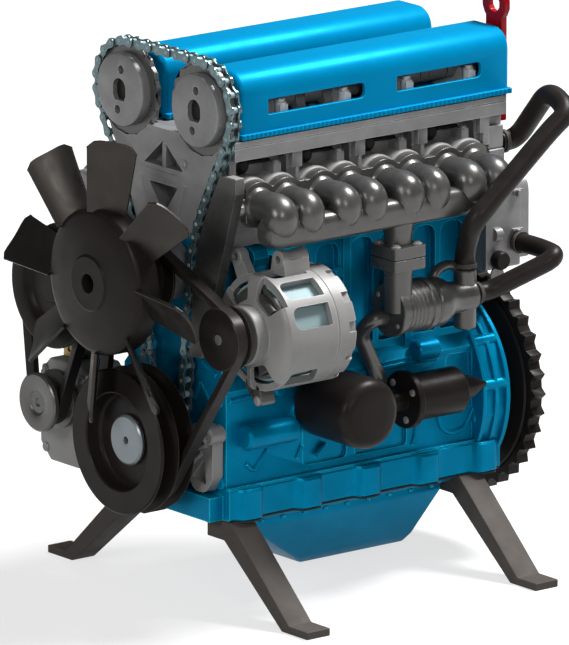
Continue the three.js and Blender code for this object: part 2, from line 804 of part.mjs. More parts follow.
function cylinderHead() {
  const flange_z = head_top_z - head_flange_height;
  const across = [
    [-head_half_width, head_bottom_z],
    [head_half_width, head_bottom_z],
    [head_half_width, port_boss_bottom_z],
    [port_face_x, port_boss_bottom_z + gap],
    [port_face_x, port_boss_top_z],
    [head_half_width, port_boss_top_z + gap],
    [head_half_width, flange_z],
    [head_flange_half_width, flange_z],
    [head_flange_half_width, head_top_z],
    [-head_flange_half_width, head_top_z],
    [-head_flange_half_width, flange_z],
    [-head_half_width, flange_z],
  ];
  let head = slab(outline(across), 'y', head_front_y, block_rear_y);
  const rear_y = block_rear_y + head_overhang;
  const overhang_y = [block_rear_y - overrun, rear_y];
  const head_x = [-head_half_width, head_half_width];
  head = join(head, box(head_x, overhang_y, [head_overhang_z, flange_z + overrun]));
  const flange_x = [-head_flange_half_width, head_flange_half_width];
  head = join(head, box(flange_x, overhang_y, [flange_z, head_top_z]));
  for (const y of wall_places.slice(1)) {
    const post_x = [head_half_width - overrun, head_flange_half_width - gap];
    const post_y = [y - post_width / 2, y + post_width / 2];
    head = join(head, box(post_x, post_y, [post_bottom_z, flange_z + overrun]));
    for (const side of sides) {
      const bearing = new THREE.Shape();
      bearing.moveTo(side * cam_offset - cam_bearing_radius, head_top_z - overrun);
      bearing.lineTo(side * cam_offset + cam_bearing_radius, head_top_z - overrun);
      bearing.absarc(side * cam_offset, cam_z, cam_bearing_radius, 0, Math.PI);
      head = join(head, slab(bearing, 'y', y - cam_bearing_width / 2, y + cam_bearing_width / 2, 2));
    }
  }
  head = join(head, headFrontPlate());
  for (const side of sides) {
    const ends = [block_front_y + cam_bearing_width, rear_y].map((y) => [side * cam_offset, y, cam_z]);
    head = cut(head, bar(shaft_radius + gap, ...ends, 8));
  }
  return head;
}
piece('cylinder_head', cylinderHead(), grey_casting);

// Cam covers over the two camshafts
const cover_front_inset = 2.3;
const cover_rear_overhang = 2.05;
const cover_front_y = head_front_y + cover_front_inset;
const cover_rear_y = block_rear_y + head_overhang + cover_rear_overhang;
const cover_top_z = 103;
const cover_half_width = 9.3;
const cover_shoulder = 5.8;
const cover_wall = 1.3;
const cover_lip = 1.3;
const cover_lip_height = 1.6;
const slot_bottom_z = 90.8;
const slot_top_z = 95;
const slot_front_inset = 9.7;
const slot_rear_inset = 10.2;
const slot_bridge = 11;
const slot_front_share = 0.53;
const slot_start_y = cover_front_y + slot_front_inset;
const slot_end_y = cover_rear_y - slot_rear_inset;
const slot_bridge_y = slot_start_y + (slot_end_y - slot_start_y - slot_bridge) * slot_front_share;
const slot_ranges = [[slot_start_y, slot_bridge_y], [slot_bridge_y + slot_bridge, slot_end_y]];

function coverShape(inset, bottom) {
  const half = cover_half_width - inset;
  const shoulder = cover_shoulder - inset;
  const top = cover_top_z - inset;
  const shape = new THREE.Shape();
  shape.moveTo(-half, bottom);
  shape.lineTo(half, bottom);
  shape.absarc(half - shoulder, top - shoulder, shoulder, 0, Math.PI / 2);
  shape.absarc(shoulder - half, top - shoulder, shoulder, Math.PI / 2, Math.PI);
  return shape;
}

function camCover(side) {
  const bottom = head_top_z + gap;
  const lip_half = cover_half_width + cover_lip;
  const lip = box([-lip_half, lip_half], [cover_front_y, cover_rear_y], [bottom, bottom + cover_lip_height]);
  let cover = join(slab(coverShape(0, bottom), 'y', cover_front_y, cover_rear_y, 2), lip);
  const inside = [cover_front_y + cover_wall, cover_rear_y - cover_wall];
  cover = cut(cover, slab(coverShape(cover_wall, bottom - overrun), 'y', ...inside, 2));
  for (const [start, end] of slot_ranges) {
    const across = [cover_half_width - cover_wall - overrun, cover_half_width + overrun];
    const slot_x = across.map((x) => side * x).sort((a, b) => a - b);
    cover = cut(cover, box(slot_x, [start, end], [slot_bottom_z, slot_top_z]));
  }
  const hole_ends = [cover_front_y - overrun, cover_front_y + cover_wall + overrun].map((y) => [0, y, cam_z]);
  return cut(cover, bar(shaft_radius + gap, ...hole_ends, 8)).translate([side * cam_offset, 0, 0]);
}
piece('exhaust_cam_cover', camCover(1), blue_paint);
piece('intake_cam_cover', camCover(-1), blue_paint);

// Camshafts, with lobes phased for the firing order 1 3 4 2
const lobe_base_radius = 3.2;
const lobe_tip_radius = 1.4;
const lobe_lift = 3.6;
const lobe_width = 2.8;
const lobe_quarter_turns = [0, 3, 1, 2];
const camshaft_front_y = 16.6;
const camshaft_end_inset = 2.35;
const camshaft_rear_y = block_rear_y + head_overhang - camshaft_end_inset;

function camshaft(side) {
  let shaft = bar(shaft_radius, [0, camshaft_front_y, 0], [0, camshaft_rear_y, 0], 8);
  bore_places.forEach((bore_y, i) => {
    const turn = side * Math.PI / 4 + lobe_quarter_turns[i] * Math.PI / 2;
    const lobe = new THREE.Shape();
    lobe.absarc(0, 0, lobe_base_radius, turn + Math.PI / 2, turn + 3 * Math.PI / 2);
    const tip_x = lobe_lift * Math.cos(turn);
    const tip_z = lobe_lift * Math.sin(turn);
    lobe.absarc(tip_x, tip_z, lobe_tip_radius, turn - Math.PI / 2, turn + Math.PI / 2);
    for (const offset of [-port_spread, port_spread]) {
      const start = bore_y + offset - lobe_width / 2;
      shaft = join(shaft, slab(lobe, 'y', start, start + lobe_width, 1));
    }
  });
  return shaft.translate([side * cam_offset, 0, cam_z]);
}
piece('exhaust_camshaft', camshaft(1), black_coat);
piece('intake_camshaft', camshaft(-1), black_coat);

// Pulleys and belts
const belt_taper = 0.3;

function groove(rim_radius, belt_radius, y) {
  const top = belt_radius + belt_top_rise;
  const floor = top - belt_depth - 2 * gap;
  const halfAt = (radius) => belt_width / 2 + (radius - top) * belt_taper + gap;
  return [
    [rim_radius, y - halfAt(rim_radius)],
    [floor, y - halfAt(floor)],
    [floor, y + halfAt(floor)],
    [rim_radius, y + halfAt(rim_radius)],
  ];
}

function belt(circles, y) {
  const half = belt_width / 2;
  const inner_half = half - belt_depth * belt_taper;
  const inner = belt_top_rise - belt_depth;
  const section = [
    [belt_top_rise, y - half],
    [belt_top_rise, y + half],
    [inner, y + inner_half],
    [inner, y - inner_half],
  ];
  return band(loopAround(circles), section);
}

const crank_rim_radius = 20.1;
const crank_pulley_width = 11.4;
const crank_first_groove_y = 3.2;
const crank_recess_radius = 13.2;
const crank_recess = 4.6;
const crank_boss_radius = 6;
const cap_radius = 7;
const cap_front_y = 3;

const crank_pulley = turned([
  [nose_radius + gap, crank_recess],
  [crank_recess_radius, crank_recess],
  [crank_recess_radius, 0],
  [crank_rim_radius, 0],
  ...groove(crank_rim_radius, crank_belt_radius, crank_first_groove_y),
  ...groove(crank_rim_radius, crank_belt_radius, fan_belt_y),
  [crank_rim_radius, crank_pulley_width],
  [crank_boss_radius, crank_hub_front_y - gap],
  [nose_radius + gap, crank_hub_front_y - gap],
], 0, 0, 16);
piece('crank_pulley', crank_pulley, black_coat);

const crank_cap = turned([
  [peg_hole_radius, cap_front_y],
  [cap_radius, cap_front_y],
  [cap_radius, crank_recess - gap],
  [peg_hole_radius, crank_recess - gap],
], 0, 0, 12);
piece('crank_cap', crank_cap, dark_casting);

// Fan, its pulley and the water pump housing that carries them
const fan_hub_front_y = -9.7;
const fan_rear_y = -0.6;
const fan_hub_radius = 20.2;
const fan_hole_radius = 2.6;
const fan_boss_radius = 7.3;
const fan_boss_step = 0.5;
const fan_rim_front_y = -6.4;
const fan_hub_bevel = 1.2;
const fan_tip_radius = 39.5;
const blade_count = 8;
const blade_first_angle = 82.5 * Math.PI / 180;
const blade_pitch = 35 * Math.PI / 180;
const blade_root_chord = 11;
const blade_tip_chord = 14.4;
const blade_thickness = 1.1;
const blade_camber = 0.9;
const blade_middle_y = -4.8;
const fan_cone_radius = 15;
const fan_rim_radius = 12.6;
const fan_rim_start_y = 5.5;
const fan_pulley_rear_y = 10.6;
const pump_shaft_radius = 2.2;
const pump_shaft_end_y = 17.6;
const pump_front_y = 11.6;
const pump_radius = 8.4;
const pump_collar_radius = 6.2;
const pump_collar = 2;

// A blade is lofted from root to tip, each section being a thin bent strip set at the blade's pitch
function fanBlade(angle) {
  const out = new THREE.Vector3(Math.cos(angle), 0, Math.sin(angle));
  const round = new THREE.Vector3(-Math.sin(angle), 0, Math.cos(angle));
  const along = new THREE.Vector3(0, -Math.sin(blade_pitch), 0).addScaledVector(round, Math.cos(blade_pitch));
  const normal = new THREE.Vector3(0, Math.cos(blade_pitch), 0).addScaledVector(round, Math.sin(blade_pitch));
  const section_shares = [[-0.5, 0], [0, 1], [0.5, 0]];
  const root_radius = fan_hub_radius - fan_hub_bevel;
  const positions = [];
  for (const share of [0, 1]) {
    const radius = THREE.MathUtils.lerp(root_radius, fan_tip_radius, share);
    const chord = THREE.MathUtils.lerp(blade_root_chord, blade_tip_chord, share);
    const place = new THREE.Vector3(0, blade_middle_y, 0).addScaledVector(out, radius);
    for (const [face, order] of [[-0.5, section_shares], [0.5, [...section_shares].reverse()]]) {
      for (const [along_share, bow_share] of order) {
        const bow = blade_camber * (bow_share - 0.5) + blade_thickness * face;
        const corner = place.clone().addScaledVector(along, chord * along_share).addScaledVector(normal, bow);
        positions.push(...corner.toArray());
      }
    }
  }
  const index = [];
  for (let i = 0; i < 6; i += 1) {
    const next = (i + 1) % 6;
    index.push(i, next, i + 6, next, next + 6, i + 6);
  }
  for (const [a, b, c] of [[0, 4, 1], [0, 5, 4], [1, 3, 2], [1, 4, 3]]) {
    index.push(a, b, c, a + 6, c + 6, b + 6);
  }
  const geometry = new THREE.BufferGeometry();
  geometry.setAttribute('position', new THREE.Float32BufferAttribute(positions, 3));
  geometry.setIndex(index);
  return toSolid(geometry);
}

function coolingFan() {
  let fan = turned([
    [fan_hole_radius, fan_hub_front_y],
    [fan_boss_radius, fan_hub_front_y],
    [fan_boss_radius + fan_boss_step, fan_hub_front_y + fan_boss_step],
    [fan_hub_radius - fan_hub_bevel, fan_rim_front_y - fan_hub_bevel],
    [fan_hub_radius, fan_rim_front_y],
    [fan_hub_radius, fan_rear_y],
    [fan_hole_radius, fan_rear_y],
  ], 0, 0, 20);
  for (let i = 0; i < blade_count; i += 1) {
    fan = join(fan, fanBlade(blade_first_angle + i * 2 * Math.PI / blade_count));
  }
  return fan.translate([0, 0, fan_z]);
}
piece('fan', coolingFan(), black_coat);

const fan_pulley = turned([
  [0, fan_rear_y + gap],
  [fan_cone_radius, fan_rear_y + gap],
  [fan_rim_radius, fan_rim_start_y],
  ...groove(fan_rim_radius, fan_belt_radius, fan_belt_y),
  [pump_shaft_radius, fan_pulley_rear_y],
  [pump_shaft_radius, pump_shaft_end_y],
  [0, pump_shaft_end_y],
], 0, fan_z, 16);
piece('fan_pulley', fan_pulley, black_coat);

const water_pump_housing = turned([
  [0, pump_shaft_end_y + gap],
  [pump_shaft_radius + gap, pump_shaft_end_y + gap],
  [pump_shaft_radius + gap, pump_front_y],
  [pump_collar_radius, pump_front_y],
  [pump_radius, pump_front_y + pump_collar],
  [pump_radius, block_front_y - gap],
  [0, block_front_y - gap],
], 0, fan_z, 14);
piece('water_pump_housing', water_pump_housing, grey_casting);

// Alternator
const drum_front_y = 13;
const drum_rear_y = 41;
const drum_wall = 2.4;
const drum_bevel = 1.6;
const stator_start_y = 21.4;
const stator_end_y = 32.6;
const stator_step = 0.8;
const drum_window_width = 9;
const drum_window_count = 4;
const rotor_shaft_radius = 1.6;
const rotor_clearance = 2;
const rotor_radius = drum_radius - drum_wall - rotor_clearance;
const rotor_pole_depth = 3;
const rotor_front_y = 18;
const rotor_rear_y = 37;
const rotor_poles = 6;
const alternator_rim = 1.2;
const alternator_rim_radius = alternator_belt_radius + alternator_rim;
const alternator_pulley_front_y = 5.8;
const alternator_pulley_rear_y = 11;
const ear_arm_y = [ear_front_y, ear_front_y + ear_depth];
const tall_ear_x = 45.5;
const tall_ear_z = 56.4;
const ear_hole_radius = 1.2;

function alternatorEar(x, z) {
  const across = new THREE.Vector2(z - alternator_z, alternator_x - x).normalize().multiplyScalar(ear_radius);
  const arm = outline([
    [x + across.x, z + across.y],
    [alternator_x + across.x, alternator_z + across.y],
    [alternator_x - across.x, alternator_z - across.y],
    [x - across.x, z - across.y],
  ]);
  return join(slab(arm, 'y', ...ear_arm_y), bar(ear_radius, ...ear_arm_y.map((y) => [x, y, z]), 8));
}

function alternatorBody() {
  let body = turned([
    [0, drum_front_y],
    [drum_radius - drum_bevel, drum_front_y],
    [drum_radius, drum_front_y + drum_bevel],
    [drum_radius, stator_start_y],
    [drum_radius - stator_step, stator_start_y],
    [drum_radius - stator_step, stator_end_y],
    [drum_radius, stator_end_y],
    [drum_radius, drum_rear_y - drum_bevel],
    [drum_radius - drum_bevel, drum_rear_y],
    [0, drum_rear_y],
  ], alternator_x, alternator_z, 16);
  const ears = [[ear_x, ear_z], [tall_ear_x, tall_ear_z]];
  for (const [x, z] of ears) body = join(body, alternatorEar(x, z));
  const inside = [drum_front_y + drum_wall, drum_rear_y - drum_wall];
  body = cut(body, bar(drum_radius - drum_wall, ...alongY(alternator_x, alternator_z, inside), 12));
  for (const [x, z] of ears) {
    const hole_ends = [ear_front_y - overrun, ear_front_y + ear_depth + overrun].map((y) => [x, y, z]);
    body = cut(body, bar(ear_hole_radius, ...hole_ends, 6));
  }
  const shaft_hole = [drum_front_y - overrun, drum_front_y + drum_wall + overrun];
  body = cut(body, bar(rotor_shaft_radius + gap, ...alongY(alternator_x, alternator_z, shaft_hole), 8));
  const window_ranges = [
    [drum_front_y + drum_wall, stator_start_y - drum_wall],
    [stator_end_y + drum_wall / 2, drum_rear_y - drum_wall],
  ];
  for (const range of window_ranges) {
    for (let i = 0; i < drum_window_count / 2; i += 1) {
      const half = drum_window_width / 2;
      const tool = box([-half, half], range, [-drum_radius - overrun, drum_radius + overrun]);
      const turned_tool = tool.rotate([0, i * 360 / drum_window_count, 0]);
      body = cut(body, turned_tool.translate([alternator_x, 0, alternator_z]));
    }
  }
  return body;
}
piece('alternator_body', alternatorBody(), bright_alloy);

function alternatorRotor() {
  const pole_share = 0.3;
  const root_radius = rotor_radius - rotor_pole_depth;
  const shape = outline(gearShape(rotor_poles, root_radius, rotor_radius, pole_share, pole_share));
  const poles = slab(shape, 'y', rotor_front_y, rotor_rear_y);
  const shaft_y = [alternator_pulley_front_y, rotor_front_y + overrun];
  const shaft = bar(rotor_shaft_radius, ...alongY(0, 0, shaft_y), 8);
  return join(poles, shaft).translate([alternator_x, 0, alternator_z]);
}
piece('alternator_rotor', alternatorRotor(), dark_casting);

const alternator_pulley = turned([
  [rotor_shaft_radius + gap, alternator_pulley_front_y],
  [alternator_rim_radius, alternator_pulley_front_y],
  ...groove(alternator_rim_radius, alternator_belt_radius, fan_belt_y),
  [alternator_rim_radius, alternator_pulley_rear_y],
  [rotor_shaft_radius + gap, alternator_pulley_rear_y],
], alternator_x, alternator_z, 14);
piece('alternator_pulley', alternator_pulley, black_coat);

const crank_belt_circle = { x: 0, z: 0, radius: crank_belt_radius, side: 1 };
const fan_belt_circles = [
  crank_belt_circle,
  { x: alternator_x, z: alternator_z, radius: alternator_belt_radius, side: 1 },
  { x: 0, z: fan_z, radius: fan_belt_radius, side: 1 },
];
piece('fan_belt', belt(fan_belt_circles, fan_belt_y), black_rubber);

// Accessories on the intake side, with their own short belt
const large_rim_radius = 17;
const large_front_y = 0.6;
const large_rear_y = 7.4;
const large_dish_radius = 12;
const large_dish_floor_radius = 10.4;
const large_dish = 2.2;
const large_hub_radius = 4.6;
const large_hub_front_y = 1.2;
const side_shaft_radius = 2.2;
const side_shaft_end_y = 13;
const side_pump_radius = 9.8;
const side_pump_front_y = 8;
const side_pump_rear_y = 40;
const side_pump_step_y = 30;
const side_pump_step = 1.8;
const small_rim_radius = 8.2;
const small_rear_y = 8;
const small_face_radius = 3.4;
const small_face_depth = 0.8;
const small_shaft_end_y = 14;
const drive_front_y = 9;
const drive_rear_y = 22;

const large_pulley = turned([
  [0, large_hub_front_y],
  [large_hub_radius, large_hub_front_y],
  [large_hub_radius, large_front_y + large_dish],
  [large_dish_floor_radius, large_front_y + large_dish],
  [large_dish_radius, large_front_y],
  [large_rim_radius, large_front_y],
  ...groove(large_rim_radius, large_belt_radius, side_belt_y),
  [large_rim_radius, large_rear_y],
  [side_shaft_radius, large_rear_y],
  [side_shaft_radius, side_shaft_end_y],
  [0, side_shaft_end_y],
], large_pulley_x, large_pulley_z, 16);
piece('large_pulley', large_pulley, black_coat);

const side_pump = turned([
  [0, side_shaft_end_y + gap],
  [side_shaft_radius + gap, side_shaft_end_y + gap],
  [side_shaft_radius + gap, side_pump_front_y],
  [side_pump_radius, side_pump_front_y],
  [side_pump_radius, side_pump_step_y],
  [side_pump_radius - side_pump_step, side_pump_step_y + side_pump_step],
  [side_pump_radius - side_pump_step, side_pump_rear_y],
  [0, side_pump_rear_y],
], large_pulley_x, large_pulley_z, 14);
piece('side_pump', side_pump, bright_alloy);

const small_pulley = turned([
  [0, small_face_depth],
  [small_face_radius, small_face_depth],
  [small_face_radius, 0],
  [small_rim_radius, 0],
  ...groove(small_rim_radius, small_belt_radius, side_belt_y),
  [small_rim_radius, small_rear_y],
  [side_shaft_radius, small_rear_y],
  [side_shaft_radius, small_shaft_end_y],
  [0, small_shaft_end_y],
], small_pulley_x, small_pulley_z, 14);
piece('small_pulley', small_pulley, black_coat);

const drive_reach = 10.2;
const drive_top_z = 14;
const drive_bottom_z = -15;
const drive_corner = 4.4;
const drive_foot_step = 1.9;
const valve_inset = 2.8;
const valve_size = 7;
const valve_height = 5.7;

function sideDrive() {
  const seat = -crankcase_half_width - gap;
  const foot = seat - drive_foot_step;
  const outer = small_pulley_x - drive_reach;
  const case_outline = outline([
    [foot, rail_top_z],
    [seat, rail_top_z + drive_corner],
    [seat, drive_top_z - drive_corner],
    [seat - drive_corner, drive_top_z],
    [outer + drive_corner, drive_top_z],
    [outer, drive_top_z - drive_corner],
    [outer, drive_bottom_z + drive_corner],
    [outer + drive_corner, drive_bottom_z],
    [foot - drive_corner, drive_bottom_z],
  ]);
  const body = slab(case_outline, 'y', drive_front_y, drive_rear_y);
  const shaft_y = [drive_front_y - overrun, small_shaft_end_y + gap];
  return cut(body, bar(side_shaft_radius + gap, ...alongY(small_pulley_x, small_pulley_z, shaft_y), 12));
}
piece('side_drive', sideDrive(), bright_alloy);

const valve_x = [small_pulley_x - valve_size / 2, small_pulley_x + valve_size / 2];
const valve_y = [drive_front_y + valve_inset, drive_front_y + valve_inset + valve_size];
piece('drive_valve', box(valve_x, valve_y, [drive_top_z + gap, drive_top_z + gap + valve_height]), brass);

const side_belt_circles = [
  { x: large_pulley_x, z: large_pulley_z, radius: large_belt_radius, side: 1 },
  { x: small_pulley_x, z: small_pulley_z, radius: small_belt_radius, side: 1 },
];
piece('side_belt', belt(side_belt_circles, side_belt_y), black_rubber);

// Intake manifold
const intake_flange_thickness = 2.2;
const intake_flange_inset = 0.6;
const intake_flange_half_height = 6.3;
const intake_flange_x = [-head_half_width - gap - intake_flange_thickness, -head_half_width - gap];
const intake_flange_y = [head_front_y + intake_flange_inset, block_rear_y - intake_flange_inset];
const intake_flange_z = [port_z - intake_flange_half_height, port_z + intake_flange_half_height];
const intake_runner_radius = 4;
const plenum_radius = 6.2;
const plenum_reach = 12.3;
const plenum_drop = 6.5;
const plenum_inset = 1.6;
const plenum_x = intake_flange_x[0] - plenum_reach;
const plenum_z = port_z - plenum_drop;
const plenum_front_y = block_front_y + plenum_inset;
const plenum_rear_y = block_rear_y - plenum_inset;
const inlet_radius = 4.6;
const inlet_front_y = plenum_front_y - 2 * plenum_inset;

function intakeManifold() {
  let manifold = box(intake_flange_x, intake_flange_y, intake_flange_z);
  const plenum_ends = [plenum_front_y, plenum_rear_y].map((y) => [plenum_x, y, plenum_z]);
  manifold = join(manifold, bar(plenum_radius, ...plenum_ends, 10));
  for (const y of bore_places) {
    const mouth = [(intake_flange_x[0] + intake_flange_x[1]) / 2, y, port_z];
    manifold = join(manifold, bar(intake_runner_radius, mouth, [plenum_x, y, plenum_z], 6));
  }
  const inlet_y = [inlet_front_y, plenum_rear_y];
  manifold = join(manifold, bar(inlet_radius, ...alongY(plenum_x, plenum_z, inlet_y), 10));
  const face_x = [intake_flange_x[1], intake_flange_x[1] + intake_runner_radius];
  return cut(manifold, box(face_x, intake_flange_y, intake_flange_z));
}
piece('intake_manifold', intakeManifold(), grey_casting);

// Exhaust manifold, gas cooler and the pipe between cooler and block
const exhaust_flange_thickness = 2;
const exhaust_flange_x = [port_face_x + gap, port_face_x + gap + exhaust_flange_thickness];
const exhaust_lobe_radius = 6.2;
const elbow_radius = 3.9;
const elbow_bend = 4.4;
const log_reach = 9.8;
const log_drop = 5.2;
const log_x = port_face_x + log_reach;
const log_z = port_z - log_drop;
const log_radius = 4.3;
const log_overhang = 3.6;
const down_pipe_radius = 3.65;
const down_pipe_inset = 0.5;
const down_pipe_x = log_x - down_pipe_inset;
const down_pipe_y = 68.5;
const square_half = 5.5;
const square_thickness = 3.1;
const square_top_z = 51.7;

function exhaustManifold() {
  const flange = new THREE.Shape();
  const ports = bore_places.flatMap((y) => [y - port_spread, y + port_spread]);
  const lobe_end = Math.acos((port_spread - gap) / exhaust_lobe_radius);
  for (const y of ports) flange.absarc(y, port_z, exhaust_lobe_radius, Math.PI - lobe_end, lobe_end, true);
  ports.reverse();
  for (const y of ports) flange.absarc(y, port_z, exhaust_lobe_radius, -lobe_end, lobe_end - Math.PI, true);
  let manifold = slab(flange, 'x', ...exhaust_flange_x, 1);
  for (const y of ports) {
    const corners = [[exhaust_flange_x[0] + gap, y, port_z], [log_x, y, port_z], [log_x, y, log_z - gap]];
    manifold = join(manifold, pipe(corners, elbow_bend, elbow_radius, 6, 3));
  }
  const log_ends = [ports[0] + log_overhang, ports[ports.length - 1] - log_overhang];
  manifold = join(manifold, bar(log_radius, ...log_ends.map((y) => [log_x, y, log_z]), 8));
  const down = [[down_pipe_x, down_pipe_y, log_z], [down_pipe_x, down_pipe_y, square_top_z - overrun]];
  manifold = join(manifold, bar(down_pipe_radius, ...down, 8));
  return join(manifold, squareFlange(square_top_z));
}

function squareFlange(top) {
  const across = [down_pipe_x - square_half, down_pipe_x + square_half];
  return box(across, [down_pipe_y - square_half, down_pipe_y + square_half], [top - square_thickness, top]);
}
piece('exhaust_manifold', exhaustManifold(), dark_casting);

const cooler_inset = 2;
const cooler_x = down_pipe_x - cooler_inset;
const cooler_z = 33;
const cooler_front_y = 66.6;
const cooler_flange_radius = 7.5;
const cooler_flange = 2.2;
const cooler_radius = 6.8;
const cooler_shoulder_y = 84;
const cooler_neck_radius = 4.4;
const cooler_neck_y = 88;
const tee_y = 93.5;
const tee_radius = 3.1;
const tee_bottom_z = 24;
const tee_top_z = 40.6;
const cooler_mount_y = 79;
const cooler_mount_radius = 3;

function gasCooler() {
  let cooler = turned([
    [0, cooler_front_y],
    [cooler_flange_radius, cooler_front_y],
    [cooler_flange_radius, cooler_front_y + cooler_flange],
    [cooler_radius, cooler_front_y + cooler_flange],
    [cooler_radius, cooler_shoulder_y],
    [cooler_neck_radius, cooler_neck_y],
    [cooler_neck_radius, tee_y + cooler_neck_radius / 2],
    [0, tee_y + cooler_neck_radius / 2],
  ], cooler_x, cooler_z, 14);
  const top = square_top_z - square_thickness - gap;
  cooler = join(cooler, squareFlange(top));
  const riser = [[down_pipe_x, down_pipe_y, cooler_z], [down_pipe_x, down_pipe_y, top - overrun]];
  cooler = join(cooler, bar(down_pipe_radius, ...riser, 8));
  cooler = join(cooler, bar(tee_radius, [cooler_x, tee_y, tee_bottom_z], [cooler_x, tee_y, tee_top_z], 10));
  const mount_x = block_half_width + gap;
  const mount_ends = [[mount_x, cooler_mount_y, cooler_z], [cooler_x, cooler_mount_y, cooler_z]];
  return join(cooler, bar(cooler_mount_radius, ...mount_ends, 8));
}
piece('gas_cooler', gasCooler(), dark_casting);

const drain_radius = 2;
const drain_bend = 2.6;
const drain_inset = 1;
const drain_drop = 2;
const drain_reach = 4.2;
const drain_standoff = 4;
const drain_turn_drop = 5;
const drain_foot_y = 70.6;
const drain_foot_z = 10.6;
const drain_x = cooler_x - drain_inset;
const drain_z = cooler_z - drain_drop;
const drain_turn_y = cooler_front_y - drain_reach;
const drain_low_x = crankcase_half_width + drain_standoff;
const drain_route = [
  [drain_x, cooler_front_y - gap, drain_z],
  [drain_x, drain_turn_y, drain_z],
  [drain_low_x, drain_turn_y + 2 * gap, drain_z - drain_turn_drop],
  [drain_low_x, drain_foot_y, drain_foot_z],
  [crankcase_half_width + gap, drain_foot_y, drain_foot_z],
];
piece('elbow_pipe', pipe(drain_route, drain_bend, drain_radius, 6, 12), dark_casting);

// Housing behind the block, with its drain tap
const rear_box_x = [-20, 26];
const rear_box_standoff = 0.7;
const rear_box_depth = 16.45;
const rear_box_front_y = block_rear_y + rear_box_standoff;
const rear_box_y = [rear_box_front_y, rear_box_front_y + rear_box_depth];
const rear_box_z = [36, 62];
const rear_box_corner = 6;
const rear_lug_radius = 2.2;
const rear_lug_inset = 5;

function rearHousing() {
  const [left, right] = rear_box_x;
  const [bottom, top] = rear_box_z;
  const shape = new THREE.Shape();
  shape.moveTo(left, bottom);
  shape.lineTo(right, bottom);
  shape.absarc(right - rear_box_corner, top - rear_box_corner, rear_box_corner, 0, Math.PI / 2);
  shape.absarc(left + rear_box_corner, top - rear_box_corner, rear_box_corner, Math.PI / 2, Math.PI);
  let housing = slab(shape, 'y', ...rear_box_y, 3);
  for (const z of [bottom + 2 * rear_lug_inset, top - rear_lug_inset]) {
    const lug = [[right, rear_box_y[0], z], [right, rear_box_y[0] + rear_lug_inset, z]];
    housing = join(housing, bar(rear_lug_radius, ...lug, 8));
  }
  return housing;
}
piece('rear_housing', rearHousing(), grey_casting);

const tap_radius = 2.6;
const tap_inset = 3.65;
const tap_y = rear_box_front_y + tap_inset;
const tap_z = 39;
const tap_length = 3.2;
const tap_start_x = rear_box_x[1] + gap;
const tap_ends = [[tap_start_x, tap_y, tap_z], [tap_start_x + tap_length, tap_y, tap_z]];
piece('drain_tap', bar(tap_radius, ...tap_ends, 12), black_coat);

// Hoses
const hose_bend = 4;
const upper_hose_radius = 2.8;
const upper_hose_straight = 5;
const upper_hose_end_x = 23.2;
const upper_hose_end_z = 71;
const hose_clearance = 0.8;
const hose_lean = 2.4;
const hose_top_lean = 1.6;
const hose_back_step = 6;
const hose_low_z = 56;
const hose_rise_inset = 6.35;
const hose_rise_z = 79;
const hose_crest_step = 5;
const hose_crest_z = 83.5;
const hose_turn_x = 38;
const hose_turn_step = 1.6;
const hose_turn_z = 87.5;
const hose_drop_step = 0.8;
const hose_low_x = log_x + log_radius + upper_hose_radius + hose_clearance;
const hose_rise_x = hose_low_x + hose_lean;
const hose_rise_y = block_rear_y + hose_rise_inset;
const hose_crest_y = hose_rise_y + hose_crest_step;
const hose_turn_y = hose_crest_y + hose_turn_step;
const upper_hose_bends = [
  [hose_low_x, tee_y - hose_back_step, hose_low_z],
  [hose_rise_x, hose_rise_y, hose_rise_z],
  [hose_rise_x + hose_top_lean, hose_crest_y, hose_crest_z],
  [hose_turn_x, hose_turn_y, hose_turn_z],
  [upper_hose_end_x, hose_turn_y + hose_drop_step, upper_hose_end_z],
];
const upper_hose_route = [
  [cooler_x, tee_y, tee_top_z + gap],
  [cooler_x, tee_y, tee_top_z + upper_hose_straight],
  ...upper_hose_bends,
  [upper_hose_end_x, block_rear_y + head_overhang + gap, upper_hose_end_z],
];
piece('upper_hose', pipe(upper_hose_route, hose_bend, upper_hose_radius, 8, 18), black_rubber);

const lower_hose_radius = 2.6;
const lower_hose_straight = 8.9;
const lower_hose_end_inset = 11.05;
const lower_hose_end_y = rear_box_front_y + lower_hose_end_inset;
const lower_hose_end_z = 43;
const lower_hose_far_x = 45.6;
const lower_hose_near_x = 38;
const lower_hose_step = 1.4;
const lower_hose_drop = 0.4;
const lower_hose_bends = [
  [lower_hose_far_x, lower_hose_end_y - lower_hose_step, lower_hose_end_z - lower_hose_drop],
  [lower_hose_near_x, lower_hose_end_y, lower_hose_end_z],
];
const lower_hose_route = [
  [cooler_x, tee_y + tee_radius + gap, cooler_z],
  [cooler_x, tee_y + lower_hose_straight, cooler_z],
  ...lower_hose_bends,
  [rear_box_x[1] + gap, lower_hose_end_y, lower_hose_end_z],
];
piece('lower_hose', pipe(lower_hose_route, hose_bend, lower_hose_radius, 8, 12), black_rubber);

// Oil filter and starter motor
const filter_y = 52;
const filter_z = 8.3;
const filter_radius = 9.8;
const filter_end_x = 46.5;
const filter_neck_radius = 7.6;
const filter_neck = 1.6;
const filter_dome = 2;

const filter_start_x = crankcase_half_width + gap;
const oil_filter = turnedAcross([
  [0, filter_start_x],
  [filter_neck_radius, filter_start_x],
  [filter_radius, filter_start_x + filter_neck],
  [filter_radius, filter_end_x - 2 * filter_dome],
  [filter_radius - filter_dome / 2, filter_end_x - filter_dome / 2],
  [filter_radius - 2 * filter_dome, filter_end_x],
  [0, filter_end_x],
], filter_y, filter_z, 18);
piece('oil_filter', oil_filter, black_coat);

